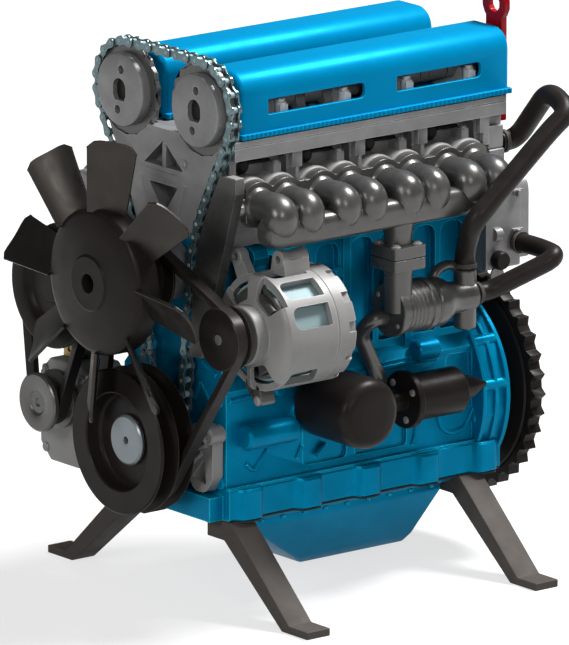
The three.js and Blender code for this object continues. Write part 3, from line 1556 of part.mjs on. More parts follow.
const starter_z = 6.2;
const starter_radius = 6.5;
const starter_nose_radius = 3;
const starter_flange_radius = 8;
const starter_x = crankcase_half_width + 2 * gap + starter_flange_radius;
const starter_flange_y = 74;
const starter_flange = 2.2;
const starter_body_end_y = 93;
const starter_nose = 8;
const starter_tail_radius = 3.4;
const starter_tail = 4;
const starter_tip_radius = 1.4;
const starter_tip = 4;

const starter_motor = turned([
  [0, starter_flange_y - starter_nose],
  [starter_nose_radius, starter_flange_y - starter_nose],
  [starter_nose_radius, starter_flange_y],
  [starter_flange_radius, starter_flange_y],
  [starter_flange_radius, starter_flange_y + starter_flange],
  [starter_radius, starter_flange_y + starter_flange],
  [starter_radius, starter_body_end_y],
  [starter_tail_radius, starter_body_end_y + overrun],
  [starter_tail_radius, starter_body_end_y + starter_tail],
  [starter_tip_radius, starter_body_end_y + starter_tail + starter_tip],
  [0, starter_body_end_y + starter_tail + starter_tip],
], starter_x, starter_z, 14);
piece('starter_motor', starter_motor, black_coat);

// Lifting eye
const eye_x = 17.6;
const eye_z = 108.4;
const eye_radius = 5;
const eye_hole_radius = 2.4;
const eye_strap_half = 3.4;
const eye_foot_z = 76;
const eye_foot_top_z = 82;
const eye_plate = 2;

function liftingEye() {
  const foot_y = block_rear_y + head_overhang + gap;
  const plate_y = [cover_rear_y + 2 * gap, cover_rear_y + 2 * gap + eye_plate];
  const strap_x = [eye_x - eye_strap_half, eye_x + eye_strap_half];
  const strap = box(strap_x, plate_y, [eye_foot_z, eye_z]);
  const foot = box(strap_x, [foot_y, plate_y[1]], [eye_foot_z, eye_foot_top_z]);
  const ring = bar(eye_radius, ...plate_y.map((y) => [eye_x, y, eye_z]), 14);
  const hole_y = [plate_y[0] - overrun, plate_y[1] + overrun];
  const hole = bar(eye_hole_radius, ...alongY(eye_x, eye_z, hole_y), 10);
  return cut(join(strap, foot, ring), hole);
}
piece('lifting_eye', liftingEye(), red_enamel);

// Oil pump cover beside the crank nose
const pump_cover_front_y = 15.9;
const pump_cover_y = [pump_cover_front_y, block_front_y - gap];
const pump_ear_x = 20.6;
const pump_ear_z = 3.4;
const pump_ear_radius = 2.4;
const pump_ear_front_y = 14.6;

const pump_cover_left_x = 9.8;
const pump_cover_width = 11.8;
const pump_cover_bottom_z = -13.4;
const pump_cover_height = 19.4;
const pump_cover_corner = 4;

function oilPumpCover() {
  const right = pump_cover_left_x + pump_cover_width;
  const top = pump_cover_bottom_z + pump_cover_height;
  const cover = outline([
    [pump_cover_left_x, pump_cover_bottom_z + pump_cover_corner],
    [pump_cover_left_x + pump_cover_corner, pump_cover_bottom_z],
    [right - pump_cover_corner, pump_cover_bottom_z],
    [right, pump_cover_bottom_z + pump_cover_corner],
    [right, top - pump_cover_corner],
    [right - pump_cover_corner, top],
    [pump_cover_left_x + pump_cover_corner, top],
    [pump_cover_left_x, top - pump_cover_corner],
  ]);
  const ear_y = [pump_ear_front_y, pump_cover_y[1]];
  const ear = bar(pump_ear_radius, ...alongY(pump_ear_x, pump_ear_z, ear_y), 10);
  return join(slab(cover, 'y', ...pump_cover_y), ear);
}
piece('oil_pump_cover', oilPumpCover(), bright_alloy);

// Pistons and connecting rods. The outer pair stands at the top of its stroke, the inner pair at the bottom.
const rod_length = 36.5;
const rod_width = 4.4;
const rod_eye_radius = 4.2;
const rod_beam_half = 1.6;
const rod_beam_thickness = 2.6;
const rod_top_radius = 1.5;
const rod_top_width = 3;
const piston_radius = 8.4;
const piston_height = 15;
const piston_crown = 1.5;
const piston_wall = 1.1;
const pin_to_crown = 13.3;
const wrist_boss_radius = 2.2;
const wrist_boss_length = 5;

function connectingRod(y, up) {
  const pin_z = up * throw_radius;
  const ends = [[0, y - rod_width / 2, pin_z], [0, y + rod_width / 2, pin_z]];
  const beam_y = [y - rod_beam_thickness / 2, y + rod_beam_thickness / 2];
  const beam = box([-rod_beam_half, rod_beam_half], beam_y, [pin_z + pin_radius + gap, pin_z + rod_length]);
  const top_ends = [y - rod_top_width / 2, y + rod_top_width / 2].map((end) => [0, end, pin_z + rod_length]);
  const rod = join(bar(rod_eye_radius, ...ends, 8), beam, bar(rod_top_radius, ...top_ends, 6));
  const hole = [y - rod_width / 2 - overrun, y + rod_width / 2 + overrun].map((end) => [0, end, pin_z]);
  return cut(rod, bar(pin_radius + gap, ...hole, 8));
}

function piston(y, up) {
  const pin_z = up * throw_radius + rod_length;
  const top = pin_z + pin_to_crown;
  const cup = turnedUp([
    [0, top],
    [piston_radius, top],
    [piston_radius, top - piston_height],
    [piston_radius - piston_wall, top - piston_height],
    [piston_radius - piston_wall, top - piston_crown],
    [0, top - piston_crown],
  ], 0, y, 10);
  const reach = piston_radius - piston_wall / 2;
  return sides.reduce((whole, side) => {
    const ends = [[0, y + side * (reach - wrist_boss_length), pin_z], [0, y + side * reach, pin_z]];
    return join(whole, bar(wrist_boss_radius, ...ends, 6));
  }, cup);
}

bore_places.forEach((y, i) => {
  const up = i === 0 || i === cylinder_count - 1 ? 1 : -1;
  piece(`connecting_rod_${i + 1}`, connectingRod(y, up), machined_steel);
  piece(`piston_${i + 1}`, piston(y, up), bright_alloy);
});

// The engine stands on the floor, with the middle of its length over the origin
const flywheel_rear_y = flywheel_front_y + flywheel_thickness;
const engine = new THREE.Group();
engine.add(...meshes);
engine.position.set(0, -(fan_hub_front_y + flywheel_rear_y) / 2, crank_height);

export default engine;
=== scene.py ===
"""Looks of a four cylinder engine model on a stand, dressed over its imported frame.

Shapes are drawn in millimetres about the crank axis, as the frame's own pieces are, and moved to the frame's
place in metres when each piece is made. +X is the exhaust side, -Y the fan end, +Z up. The centre of a turned
piece is across and up: x and z where its axis is y, y and z where it is x, x and y where it is z.
"""
import math

import bmesh
import bpy
from mathutils import Matrix, Vector


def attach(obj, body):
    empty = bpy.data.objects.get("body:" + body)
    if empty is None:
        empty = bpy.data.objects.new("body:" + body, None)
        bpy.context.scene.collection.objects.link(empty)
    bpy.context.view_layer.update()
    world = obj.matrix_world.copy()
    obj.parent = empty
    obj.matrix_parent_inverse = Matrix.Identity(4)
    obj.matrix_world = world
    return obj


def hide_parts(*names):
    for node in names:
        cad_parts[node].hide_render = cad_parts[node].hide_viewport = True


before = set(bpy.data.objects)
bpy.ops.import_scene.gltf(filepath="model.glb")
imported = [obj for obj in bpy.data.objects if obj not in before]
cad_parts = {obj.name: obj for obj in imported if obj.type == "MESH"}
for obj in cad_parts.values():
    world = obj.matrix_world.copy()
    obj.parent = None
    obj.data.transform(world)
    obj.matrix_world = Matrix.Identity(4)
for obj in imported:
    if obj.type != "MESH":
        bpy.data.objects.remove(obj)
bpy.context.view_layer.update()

MM = 0.001
ORIGIN = Vector((0, -57.55, 46.5))
TO_FRAME = Matrix.Scale(MM, 4) @ Matrix.Translation(ORIGIN)
TAU = 2 * math.pi
TINY = 1e-6
SIDES = (1, -1)

# Sizes shared with the frame's solids, with a wheel's centre as across and up
BORE_PITCH = 21.7
FIRST_BORE = 30.7
BORES = [FIRST_BORE + i * BORE_PITCH for i in range(4)]
WALLS = [FIRST_BORE + (i - 0.5) * BORE_PITCH for i in range(5)]
BAYS = list(zip(WALLS, WALLS[1:]))
PORT_OFFSETS = (-4.7, 4.7)
PORTS = [y + offset for y in BORES for offset in PORT_OFFSETS]
PORT_Z = 67.5
CAM_X, CAM_Z = 16.4, 92.7
CAMS = (("exhaust", 1), ("intake", -1))
FAN_Z = 45.6
FAN = (0, FAN_Z)
ALTERNATOR = (37, 34.8)
LARGE_PULLEY = (-30.9, 37)
SMALL_PULLEY = (-35.8, 3.8)
COOLER = (34, 33)
COOLER_RISER = (34, 93.5)
DOWN_PIPE = (36, 68.5)
STARTER = (31, 6.2)
OIL_FILTER = (52, 8.3)
PLENUM = (-39, 61)
FAN_BELT_Y, SIDE_BELT_Y = 8.4, 4
CRANK_BELT_RADIUS, FAN_BELT_RADIUS, ALTERNATOR_BELT_RADIUS = 18, 11.4, 7.4
LARGE_BELT_RADIUS, SMALL_BELT_RADIUS = 15, 6.4
BELT_WIDTH, BELT_DEPTH, BELT_RISE, BELT_TAPER = 3.4, 2.6, 0.4, 0.3
CHAIN_FRONT, CHAIN_DEPTH = 15.6, 3.6
CHAIN_REAR = CHAIN_FRONT + CHAIN_DEPTH
CHAIN_PITCH = 4.1
CAM_TEETH, CRANK_TEETH = 20, 10

# The photograph's view: its height in pixels, the distance and centre in pixels, and the size of a pixel
PHOTO_HEIGHT_PX = 645
VIEW_DISTANCE_PX = 11200
VIEW_CENTRE_PX = (167.95, 119.65)
PIXEL_MM = 0.27
VIEW_TURN, VIEW_RISE = math.radians(51.6), math.radians(14.07)
SENSOR_MM = 36
FAR_CLIP = 50


# Camera and stage
def linked(obj):
    bpy.context.scene.collection.objects.link(obj)
    return obj


def set_camera():
    turn, rise = VIEW_TURN, VIEW_RISE
    right = Vector((math.cos(turn), math.sin(turn), 0))
    up = Vector((-math.sin(turn) * math.sin(rise), math.cos(turn) * math.sin(rise), math.cos(rise)))
    back = Vector((math.sin(turn) * math.cos(rise), -math.cos(turn) * math.cos(rise), math.sin(rise)))
    centre = VIEW_CENTRE_PX[0] * right + VIEW_CENTRE_PX[1] * up
    eye = (centre + VIEW_DISTANCE_PX * back) * PIXEL_MM + ORIGIN
    data = bpy.data.cameras.new("camera")
    data.sensor_fit = "VERTICAL"
    data.sensor_height = SENSOR_MM
    data.lens = VIEW_DISTANCE_PX * SENSOR_MM / PHOTO_HEIGHT_PX
    data.clip_end = FAR_CLIP
    camera = linked(bpy.data.objects.new("camera", data))
    axes = Matrix((right, up, back)).transposed().to_4x4()
    camera.matrix_world = Matrix.Translation(eye * MM) @ axes
    bpy.context.scene.camera = camera


def set_inputs(tree, shader_node, inputs):
    """Link each input to a socket, or set it to a value."""
    for key, value in inputs.items():
        socket = shader_node.inputs[key]
        if isinstance(value, bpy.types.NodeSocket):
            tree.links.new(value, socket)
        else:
            socket.default_value = value


def add_node(tree, kind, inputs=None, **settings):
    added = tree.nodes.new("ShaderNode" + kind)
    for key, value in settings.items():
        setattr(added, key, value)
    set_inputs(tree, added, inputs or {})
    return added


def set_world():
    """Dim studio light, darker from below."""
    world = bpy.data.worlds.new("studio")
    world.use_nodes = True
    bpy.context.scene.world = world
    tree = world.node_tree
    tree.nodes.clear()
    direction = add_node(tree, "TexCoord").outputs["Generated"]
    height = add_node(tree, "SeparateXYZ", {0: direction}).outputs["Z"]
    share = add_node(tree, "MapRange", {"Value": height, "From Min": -1}).outputs["Result"]
    ramp = add_node(tree, "ValToRGB", {"Fac": share})
    low, high = ramp.color_ramp.elements
    low.position, low.color = 0.3, (0.35, 0.35, 0.36, 1)
    high.position, high.color = 0.95, (1, 1, 1, 1)
    light = add_node(tree, "Background", {"Color": ramp.outputs["Color"], "Strength": 0.1})
    add_node(tree, "OutputWorld", {"Surface": light.outputs[0]})


def make_floor():
    """White paper that glows for the camera, for mirrors and through glass, and lights nothing itself."""
    mesh = bpy.data.meshes.new("floor")
    half = 4.0
    corners = [(-half, -half, 0), (half, -half, 0), (half, half, 0), (-half, half, 0)]
    mesh.from_pydata(corners, [], [(0, 1, 2, 3)])
    floor = linked(bpy.data.objects.new("floor", mesh))
    paper = bpy.data.materials.new("floor_paper")
    paper.use_nodes = True
    tree = paper.node_tree
    ray = add_node(tree, "LightPath").outputs
    direct = add_node(tree, "Math", {0: ray["Is Camera Ray"], 1: ray["Is Glossy Ray"]}, operation="MAXIMUM")
    seen = add_node(tree, "Math", {0: direct.outputs[0], 1: ray["Is Transmission Ray"]}, operation="MAXIMUM")
    glow = add_node(tree, "Math", {0: seen.outputs[0], 1: 0.7}, operation="MULTIPLY")
    set_inputs(tree, tree.nodes["Principled BSDF"], {
        "Base Color": (0.32, 0.32, 0.32, 1), "Roughness": 0.9, "Specular IOR Level": 0.1,
        "Emission Color": (1, 1, 1, 1), "Emission Strength": glow.outputs[0],
    })
    mesh.materials.append(paper)


def area_light(name, towards, distance, size, power):
    data = bpy.data.lights.new(name, "AREA")
    data.shape = "DISK"
    data.size = size
    data.energy = power
    lamp = linked(bpy.data.objects.new(name, data))
    middle = Vector((0, 0, 0.08))
    direction = Vector(towards).normalized()
    lamp.location = middle + direction * distance
    lamp.rotation_euler = direction.to_track_quat("Z", "Y").to_euler()


set_camera()
set_world()
make_floor()
area_light("key", (0.17, 0.46, 0.87), 1.6, 0.6, 50)
area_light("front", (0.2, -0.9, 0.38), 1.8, 0.5, 9)
area_light("side", (0.8, -0.42, 0.38), 2, 0.5, 6)
scene = bpy.context.scene
scene.view_settings.view_transform = "Standard"


# Materials
def linear(value):
    value /= 255
    return value / 12.92 if value <= 0.04045 else ((value + 0.055) / 1.055) ** 2.4


def rgb(red, green, blue):
    return (linear(red), linear(green), linear(blue), 1)


def scaled(colour, factor):
    return tuple(min(1, channel * factor) for channel in colour[:3]) + (1,)


class Finish:
    """A node material built up from object coordinates."""

    def __init__(self, name, colour, roughness, metallic):
        self.material = bpy.data.materials.new(name)
        self.material.use_nodes = True
        self.tree = self.material.node_tree
        self.shader = self.tree.nodes["Principled BSDF"]
        self.colour = rgb(*colour)
        self.roughness = roughness
        self.material.diffuse_color = self.colour
        self.feed(Roughness=roughness, Metallic=metallic)
        self.coordinates = add_node(self.tree, "TexCoord").outputs["Object"]

    def feed(self, **inputs):
        set_inputs(self.tree, self.shader, inputs)

    def noise(self, size, detail=3, roughness=0.55, stretch=None):
        source = self.coordinates
        if stretch:
            source = add_node(self.tree, "Mapping", {"Vector": source, "Scale": stretch}).outputs["Vector"]
        inputs = {"Vector": source, "Scale": 1 / (size * MM), "Detail": detail, "Roughness": roughness}
        return add_node(self.tree, "TexNoise", inputs).outputs["Fac"]

    def spread(self, value, low, high, start=0.3, end=0.7):
        inputs = {"Value": value, "From Min": start, "From Max": end, "To Min": low, "To Max": high}
        return add_node(self.tree, "MapRange", inputs).outputs["Result"]

    def mix(self, amount, first, second):
        return add_node(self.tree, "Mix", {0: amount, 6: first, 7: second}, data_type="RGBA").outputs[2]

    def mottle(self, size, amount):
        """Slow change of tone over the surface, with a finer change on top."""
        slow = self.spread(self.noise(size, 4), 0, 1)
        fine = self.spread(self.noise(size / 9, 2), 0, 1)
        base = self.mix(slow, scaled(self.colour, 1 - amount), scaled(self.colour, 1 + amount))
        self.base = self.mix(self.spread(fine, 0, 0.25, 0, 1), base, scaled(self.colour, 1 - 1.5 * amount))

    def edges(self, colour, width, strength):
        """Painted highlight on corners and edges, found where a rounded normal leaves the true one."""
        soft = add_node(self.tree, "Bevel", {"Radius": width * MM}, samples=4).outputs["Normal"]
        true = add_node(self.tree, "NewGeometry").outputs["Normal"]
        dot = add_node(self.tree, "VectorMath", {0: soft, 1: true}, operation="DOT_PRODUCT")
        # The edge colour mixed in here is a painted highlight on corners.
        painted_edge_highlight = self.spread(dot.outputs["Value"], strength, 0, 0.72, 0.97)
        self.feed(**{"Base Color": self.mix(painted_edge_highlight, self.base, rgb(*colour))})

    def grain(self, size, height, detail=3, stretch=None):
        """Fine relief of a casting, coat or moulding."""
        relief = self.noise(size, detail, 0.6, stretch)
        bump = add_node(self.tree, "Bump", {"Distance": height * MM, "Strength": 1, "Height": relief})
        self.feed(Normal=bump.outputs["Normal"])

    def patchy(self, amount):
        """Uneven gloss."""
        self.feed(Roughness=self.spread(self.noise(5, 4), self.roughness - amount, self.roughness + amount))


BRUSHED = (1, 0.1, 1)
# Each finish has its colour, roughness and metallic share, then the size and amount of its mottle. Next come
# the colour, width and strength of the painted highlight on its edges, the size and height of its grain, and
# how uneven and how strong its gloss is.
FINISH_ROWS = {
    "cover_paint": ((0, 134, 184), 0.4, 0.2, (14, 0.03),
        ((60, 225, 255), 0.4, 0.7), (0.6, 0.004), 0.05, 0.02),
    "block_paint": ((0, 128, 170), 0.36, 0.3, (7, 0.08),
        ((40, 235, 255), 0.55, 0.95), (0.5, 0.015), 0.07, 0.02),
    "grey_casting": ((138, 138, 139), 0.42, 0.3, (6, 0.1),
        ((235, 236, 238), 0.3, 0.7), (0.45, 0.02), 0.08, 0.25),
    "dark_casting": ((96, 95, 94), 0.32, 0.55, (5, 0.12),
        ((200, 200, 200), 0.25, 0.45), (0.5, 0.012), 0.08, 0.3),
    "bright_alloy": ((144, 143, 142), 0.42, 0.1, (6, 0.06),
        ((250, 250, 250), 0.25, 0.6), (0.4, 0.01), 0.07, 0.3),
    "black_coat": ((34, 30, 28), 0.36, 0, (8, 0.12),
        ((150, 140, 132), 0.22, 0.5), (0.4, 0.006), 0.07, 0.1),
    "black_rubber": ((38, 34, 32), 0.4, 0, (5, 0.12),
        ((100, 92, 88), 0.3, 0.3), (0.3, 0.01), 0.08, 0.15),
    "chain_steel": ((104, 126, 130), 0.28, 0.6, (4, 0.15),
        ((235, 245, 248), 0.15, 0.7), (0.4, 0.008), 0.08, 0.5),
    "machined_steel": ((134, 142, 146), 0.34, 0.4, (5, 0.07),
        ((240, 240, 240), 0.2, 0.5), (0.25, 0.006, 2, BRUSHED), 0.06, 0.3),
    "leg_steel": ((82, 77, 73), 0.6, 0, (7, 0.1),
        ((190, 182, 176), 0.3, 0.7), (0.6, 0.015), 0.08, 0.1),
    "red_enamel": ((150, 0, 14), 0.34, 0.1, (5, 0.1),
        ((225, 50, 50), 0.25, 0.6), (0.5, 0.01), 0.05, 0.2),
    "brass": ((160, 140, 88), 0.3, 0.7, (3, 0.12),
        ((240, 225, 170), 0.2, 0.5), (0.4, 0.015), 0.07, 0.5),
    "pale_core": ((150, 174, 178), 0.5, 0, (5, 0.05),
        ((245, 250, 250), 0.2, 0.4), (0.25, 0.008, 2, BRUSHED), 0.06, 0.2),
    "cap_alloy": ((228, 228, 225), 0.5, 0, (5, 0.05),
        ((255, 255, 255), 0.2, 0.4), (0.3, 0.008), 0.06, 0.3),
    "blade_coat": ((58, 55, 52), 0.38, 0.75, (6, 0.1),
        ((170, 164, 156), 0.2, 0.5), (0.4, 0.006), 0.08, 0.3),
}


def finished(name):
    colour, roughness, metallic, mottle, edges, grain, unevenness, gloss = FINISH_ROWS[name]
    look = Finish(name, colour, roughness, metallic)
    look.mottle(*mottle)
    # The lighter edge colour is a painted highlight on corners and edges.
    look.edges(*edges)
    look.grain(*grain)
    look.patchy(unevenness)
    look.feed(**{"Specular IOR Level": gloss})
    return look.material


FINISHES = {name: finished(name) for name in FINISH_ROWS}


# Shapes: lists of corners and faces
def merged(shapes):
    corners, faces = [], []
    for shape in shapes:
        start = len(corners)
        corners.extend(shape[0])
        faces.extend(tuple(index + start for index in face) for face in shape[1])
    return corners, faces


def moved(shape, offset):
    return [Vector(corner) + Vector(offset) for corner in shape[0]], shape[1]


def turned_by(shape, matrix):
    return [matrix @ Vector(corner) for corner in shape[0]], shape[1]


def on_axis(axis, across, up, along):
    if axis == "y":
        return Vector((across, along, up))
    if axis == "x":
        return Vector((along, across, up))
    return Vector((across, up, along))


def on_side(side, near, far):
    """Two distances from the middle plane as a low and a high x on one side of it."""
    return sorted((side * near, side * far))


def arc(centre, radius, start, end, steps):
    turns = [start + (end - start) * i / steps for i in range(steps + 1)]
    return around(centre, radius, turns)


def around(centre, radius, turns):
    return [(centre[0] + radius * math.cos(t), centre[1] + radius * math.sin(t)) for t in turns]


def skin(rows, count, loop=False):
    """Faces between rows of corners, and from the last row back to the first where they make a loop."""
    faces = []
    for row in range(rows if loop else rows - 1):
        here, after = row * count, (row + 1) % rows * count
        for i in range(count):
            j = (i + 1) % count
            faces.append((here + i, here + j, after + j, after + i))
    return faces


def lathe(profile, centre=(0, 0), axis="y", segments=64):
    """A turned shape. The profile is radius and place along the axis."""
    corners, rings = [], []
    for radius, along in profile:
        count = segments if radius > TINY else 1
        rings.append(range(len(corners), len(corners) + count))
        turns = [TAU * i / segments for i in range(count)]
        corners += [on_axis(axis, across, up, along) for across, up in around(centre, radius, turns)]
    pairs = list(zip(rings, rings[1:]))
    if len(rings[0]) > 1 and len(rings[-1]) > 1:
        pairs.append((rings[-1], rings[0]))
    faces = []
    for first, second in pairs:
        for i in range(segments):
            j = (i + 1) % segments
            around_face = ((first, i), (first, j), (second, j), (second, i))
            face = [ring_of[k % len(ring_of)] for ring_of, k in around_face]
            if len(set(face)) > 2:
                faces.append(tuple(dict.fromkeys(face)))
    return corners, faces


def ring(inner, outer, start, end, centre=(0, 0), axis="y", segments=36):
    return lathe([(inner, start), (outer, start), (outer, end), (inner, end)], centre, axis, segments)


def boss(centre, radius, start, end, chamfer=(0.4, 0.5), axis="x", segments=24, bore=0):
    """A round boss that starts plain and ends in a chamfer, given as its reach inwards and along."""
    shoulder = end - math.copysign(chamfer[1], end - start)
    profile = [(bore, start), (radius, start), (radius, shoulder), (radius - chamfer[0], end), (bore, end)]
    return lathe(profile, centre, axis, segments)


def loft(sections, axis="y"):
    """Outlines of equal count, each with its place along an axis, joined in order and closed at both ends."""
    count = len(sections[0][0])
    corners = [on_axis(axis, a, b, along) for points, along in sections for a, b in points]
    last = len(corners) - 1
    caps = [tuple(range(count)), tuple(range(last, last - count, -1))]
    return corners, caps + skin(len(sections), count)


def prism(points, axis, start, end):
    """A flat outline pushed along an axis."""
    return loft([(points, start), (points, end)], axis)


def framed(outer, inner, axis, start, end):
    """A flat ring between two outlines of equal count."""
    rows = ((outer, start), (inner, start), (inner, end), (outer, end))
    corners = [on_axis(axis, a, b, along) for points, along in rows for a, b in points]
    return corners, skin(len(rows), len(outer), loop=True)


def box(x, y, z):
    return prism([(x[0], z[0]), (x[1], z[0]), (x[1], z[1]), (x[0], z[1])], "y", *y)


def curve_round(start, corner, end, steps):
    """Points of a round bend from start to end that heads for the corner."""
    shares = [k / steps for k in range(steps + 1)]
    return [start * (1 - t) ** 2 + corner * 2 * t * (1 - t) + end * t * t for t in shares]


def rounded(points, radius, steps=4):
    """An outline with its corners rounded."""
    result = []
    for i, point in enumerate(points):
        corner = Vector(point)
        before, after = Vector(points[i - 1]) - corner, Vector(points[(i + 1) % len(points)]) - corner
        size = radius[i] if isinstance(radius, (list, tuple)) else radius
        reach = min(size, before.length * 0.45, after.length * 0.45)
        start, end = corner + before.normalized() * reach, corner + after.normalized() * reach
        result += [tuple(place) for place in curve_round(start, corner, end, steps)]
    return result


def panel(across, up, radius, steps=4):
    """A rectangle with rounded corners."""
    corners = [(across[0], up[0]), (across[1], up[0]), (across[1], up[1]), (across[0], up[1])]
    return rounded(corners, radius, steps)


def rod(start, end, radius, segments=24):
    """A round bar from one point to another."""
    start, end = Vector(start), Vector(end)
    bar = ring(0, radius, 0, (end - start).length, axis="z", segments=segments)
    turn = (end - start).to_track_quat("Z", "Y").to_matrix()
    return moved(turned_by(bar, turn), start)


def bolt(at, towards, size=1.3, height=0.9, washer=True):
    """A hexagon head with its washer and a rounded top."""
    sunk = -0.2
    head = [(0, sunk), (size, sunk), (size, height * 0.7), (size * 0.8, height), (0, height)]
    parts = [lathe(head, axis="z", segments=6)]
    if washer:
        disc = [(0, sunk), (size * 1.35, sunk), (size * 1.35, 0.25), (size * 1.2, 0.35), (0, 0.35)]
        parts.append(lathe(disc, axis="z", segments=20))
    turn = Vector(towards).to_track_quat("Z", "Y").to_matrix()
    return moved(turned_by(merged(parts), turn), at)


def bends(corners, bend, steps=8):
    """A route along straight runs with round bends."""
    points = [Vector(corner) for corner in corners]
    route = [points[0]]
    for before, corner, after in zip(points, points[1:], points[2:]):
        start = corner + (before - corner).normalized() * min(bend, (before - corner).length * 0.5)
        end = corner + (after - corner).normalized() * min(bend, (after - corner).length * 0.5)
        route += curve_round(start, corner, end, steps)
    route.append(points[-1])
    return [point for i, point in enumerate(route) if i == 0 or (point - route[i - 1]).length > 1e-4]


def tube(route, radius, sides=24):
    """A round tube along a route. The radius is one number or one for each point."""
    count = len(route)
    radii = radius if isinstance(radius, (list, tuple)) else [radius] * count
    headings = [(route[min(i + 1, count - 1)] - route[max(i - 1, 0)]).normalized() for i in range(count)]
    side = headings[0].orthogonal().normalized()
    corners = []
    for i, point in enumerate(route):
        if i:
            side = headings[i - 1].rotation_difference(headings[i]) @ side
        other = headings[i].cross(side)
        for k in range(sides):
            angle = TAU * k / sides
            corners.append(point + (side * math.cos(angle) + other * math.sin(angle)) * radii[i])
    caps = [tuple(range(sides - 1, -1, -1)), tuple(range((count - 1) * sides, count * sides))]
    return corners, skin(count, sides) + caps


# Pieces made from shapes, and finer copies of the frame's solids
def build_mesh(name, shape):
    weld, speck = 0.001, 0.0005
    mesh = bpy.data.meshes.new(name)
    mesh.from_pydata([tuple(corner) for corner in shape[0]], [], shape[1])
    work = bmesh.new()
    work.from_mesh(mesh)
    bmesh.ops.remove_doubles(work, verts=work.verts, dist=weld)
    bmesh.ops.dissolve_degenerate(work, edges=work.edges, dist=speck)
    bmesh.ops.recalc_face_normals(work, faces=work.faces)
    work.to_mesh(mesh)
    work.free()
    return mesh


def dressed(obj, look, body, node=None, bevel=0, segments=2, angle=32):
    """Finish, soft edges, the body that the piece rides on and the frame's node that it stands for."""
    mesh = obj.data
    mesh.materials.clear()
    mesh.materials.append(FINISHES[look])
    mesh.transform(TO_FRAME)
    mesh.shade_smooth()
    mesh.set_sharp_from_angle(angle=math.radians(angle))
    if bevel:
        edge = obj.modifiers.new("edges", "BEVEL")
        edge.width = bevel * MM
        edge.segments = segments
        edge.limit_method = "ANGLE"
        edge.angle_limit = math.radians(28)
        edge.use_clamp_overlap = True
        edge.harden_normals = True
    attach(obj, body)
    if node:
        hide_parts(node)


def carve(obj, cuts, knit=False):
    """Cut shapes out of a piece, which is first knit into one where its own parts overlap."""
    for i, shape in enumerate(cuts):
        tool = linked(bpy.data.objects.new(f"tool_{i}", build_mesh(f"tool_{i}", shape)))
        cutter = obj.modifiers.new("cut", "BOOLEAN")
        cutter.object = tool
        cutter.operation = "DIFFERENCE"
        cutter.solver = "EXACT"
        cutter.use_self = knit
        bpy.context.view_layer.update()
        done = bpy.data.meshes.new_from_object(obj.evaluated_get(bpy.context.evaluated_depsgraph_get()))
        obj.modifiers.clear()
        obj.data = done
        bpy.data.objects.remove(tool)


def make(name, shape, look, body="frame", node=None, cuts=(), knit=False, **edges):
    """A piece made from a shape or a list of shapes."""
    if isinstance(shape, list):
        shape = merged(shape)
    obj = linked(bpy.data.objects.new(name, build_mesh(name, shape)))
    carve(obj, cuts, knit)
    dressed(obj, look, body, node, **edges)


def soften(node, look, bevel, body="frame", segments=2, cuts=()):
    """A finer copy of a frame solid that keeps its shape, with rounded edges."""
    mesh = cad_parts[node].data.copy()
    work = bmesh.new()
    work.from_mesh(mesh)
    bmesh.ops.remove_doubles(work, verts=work.verts, dist=2e-6)
    bmesh.ops.dissolve_limit(work, angle_limit=math.radians(1), verts=work.verts, edges=work.edges)
    work.to_mesh(mesh)
    work.free()
    mesh.transform(TO_FRAME.inverted())
    obj = linked(bpy.data.objects.new(f"{node}_finish", mesh))
    carve(obj, cuts)
    dressed(obj, look, body, node, bevel=bevel, segments=segments)


# Fan, pulleys and belts
def groove(rim, belt, y):
    """A stretch of a pulley's profile that leaves room round a belt running on a radius."""
    under, beside = 0.6, 0.3
    top = belt + BELT_RISE
    floor = top - BELT_DEPTH - under
    rim_half, floor_half = [BELT_WIDTH / 2 + (radius - top) * BELT_TAPER + beside for radius in (rim, floor)]
    return [(rim, y - rim_half), (floor, y - floor_half), (floor, y + floor_half), (rim, y + rim_half)]


def fan_blade(angle):
    """One pressed blade, cambered and a little wider at its round-cornered tip."""
    root, tip, root_chord, tip_chord, camber, thickness = 18.9, 39.35, 11, 14.4, 0.9, 1.0
    corner_start, corner_cut, corner_power = 0.9, 2.2, 6
    pitch, middle = math.radians(35), Vector((0, -4.8, 0))
    out = Vector((math.cos(angle), 0, math.sin(angle)))
    tangent = Vector((-math.sin(angle), 0, math.cos(angle)))
    along = Vector((0, -math.sin(pitch), 0)) + tangent * math.cos(pitch)
    normal = Vector((0, math.cos(pitch), 0)) + tangent * math.sin(pitch)
    rows, across = 9, 9
    grid = []
    for face in (-thickness / 2, thickness / 2):
        for i in range(rows):
            share = i / (rows - 1)
            radius = root + (tip - root) * share
            chord = root_chord + (tip_chord - root_chord) * share
            for j in range(across):
                place = j / (across - 1) - 0.5
                bow = camber * (1 - 4 * place * place) - camber / 2
                corner = max(0, share - corner_start) / (1 - corner_start) * (2 * abs(place)) ** corner_power
                centre = middle + out * (radius - corner_cut * corner)
                grid.append(centre + along * chord * place + normal * (bow + face))
    faces = []
    half = rows * across
    for i in range(rows - 1):
        for j in range(across - 1):
            a = i * across + j
            faces.append((a, a + 1, a + across + 1, a + across))
            faces.append((half + a, half + a + across, half + a + across + 1, half + a + 1))
    rim = list(range(across)) + [i * across + across - 1 for i in range(1, rows)]
    rim += [(rows - 1) * across + j for j in range(across - 2, -1, -1)]
    rim += [i * across for i in range(rows - 2, 0, -1)]
    faces += [(a, half + a, half + b, b) for a, b in zip(rim, rim[1:] + rim[:1])]
    return grid, faces


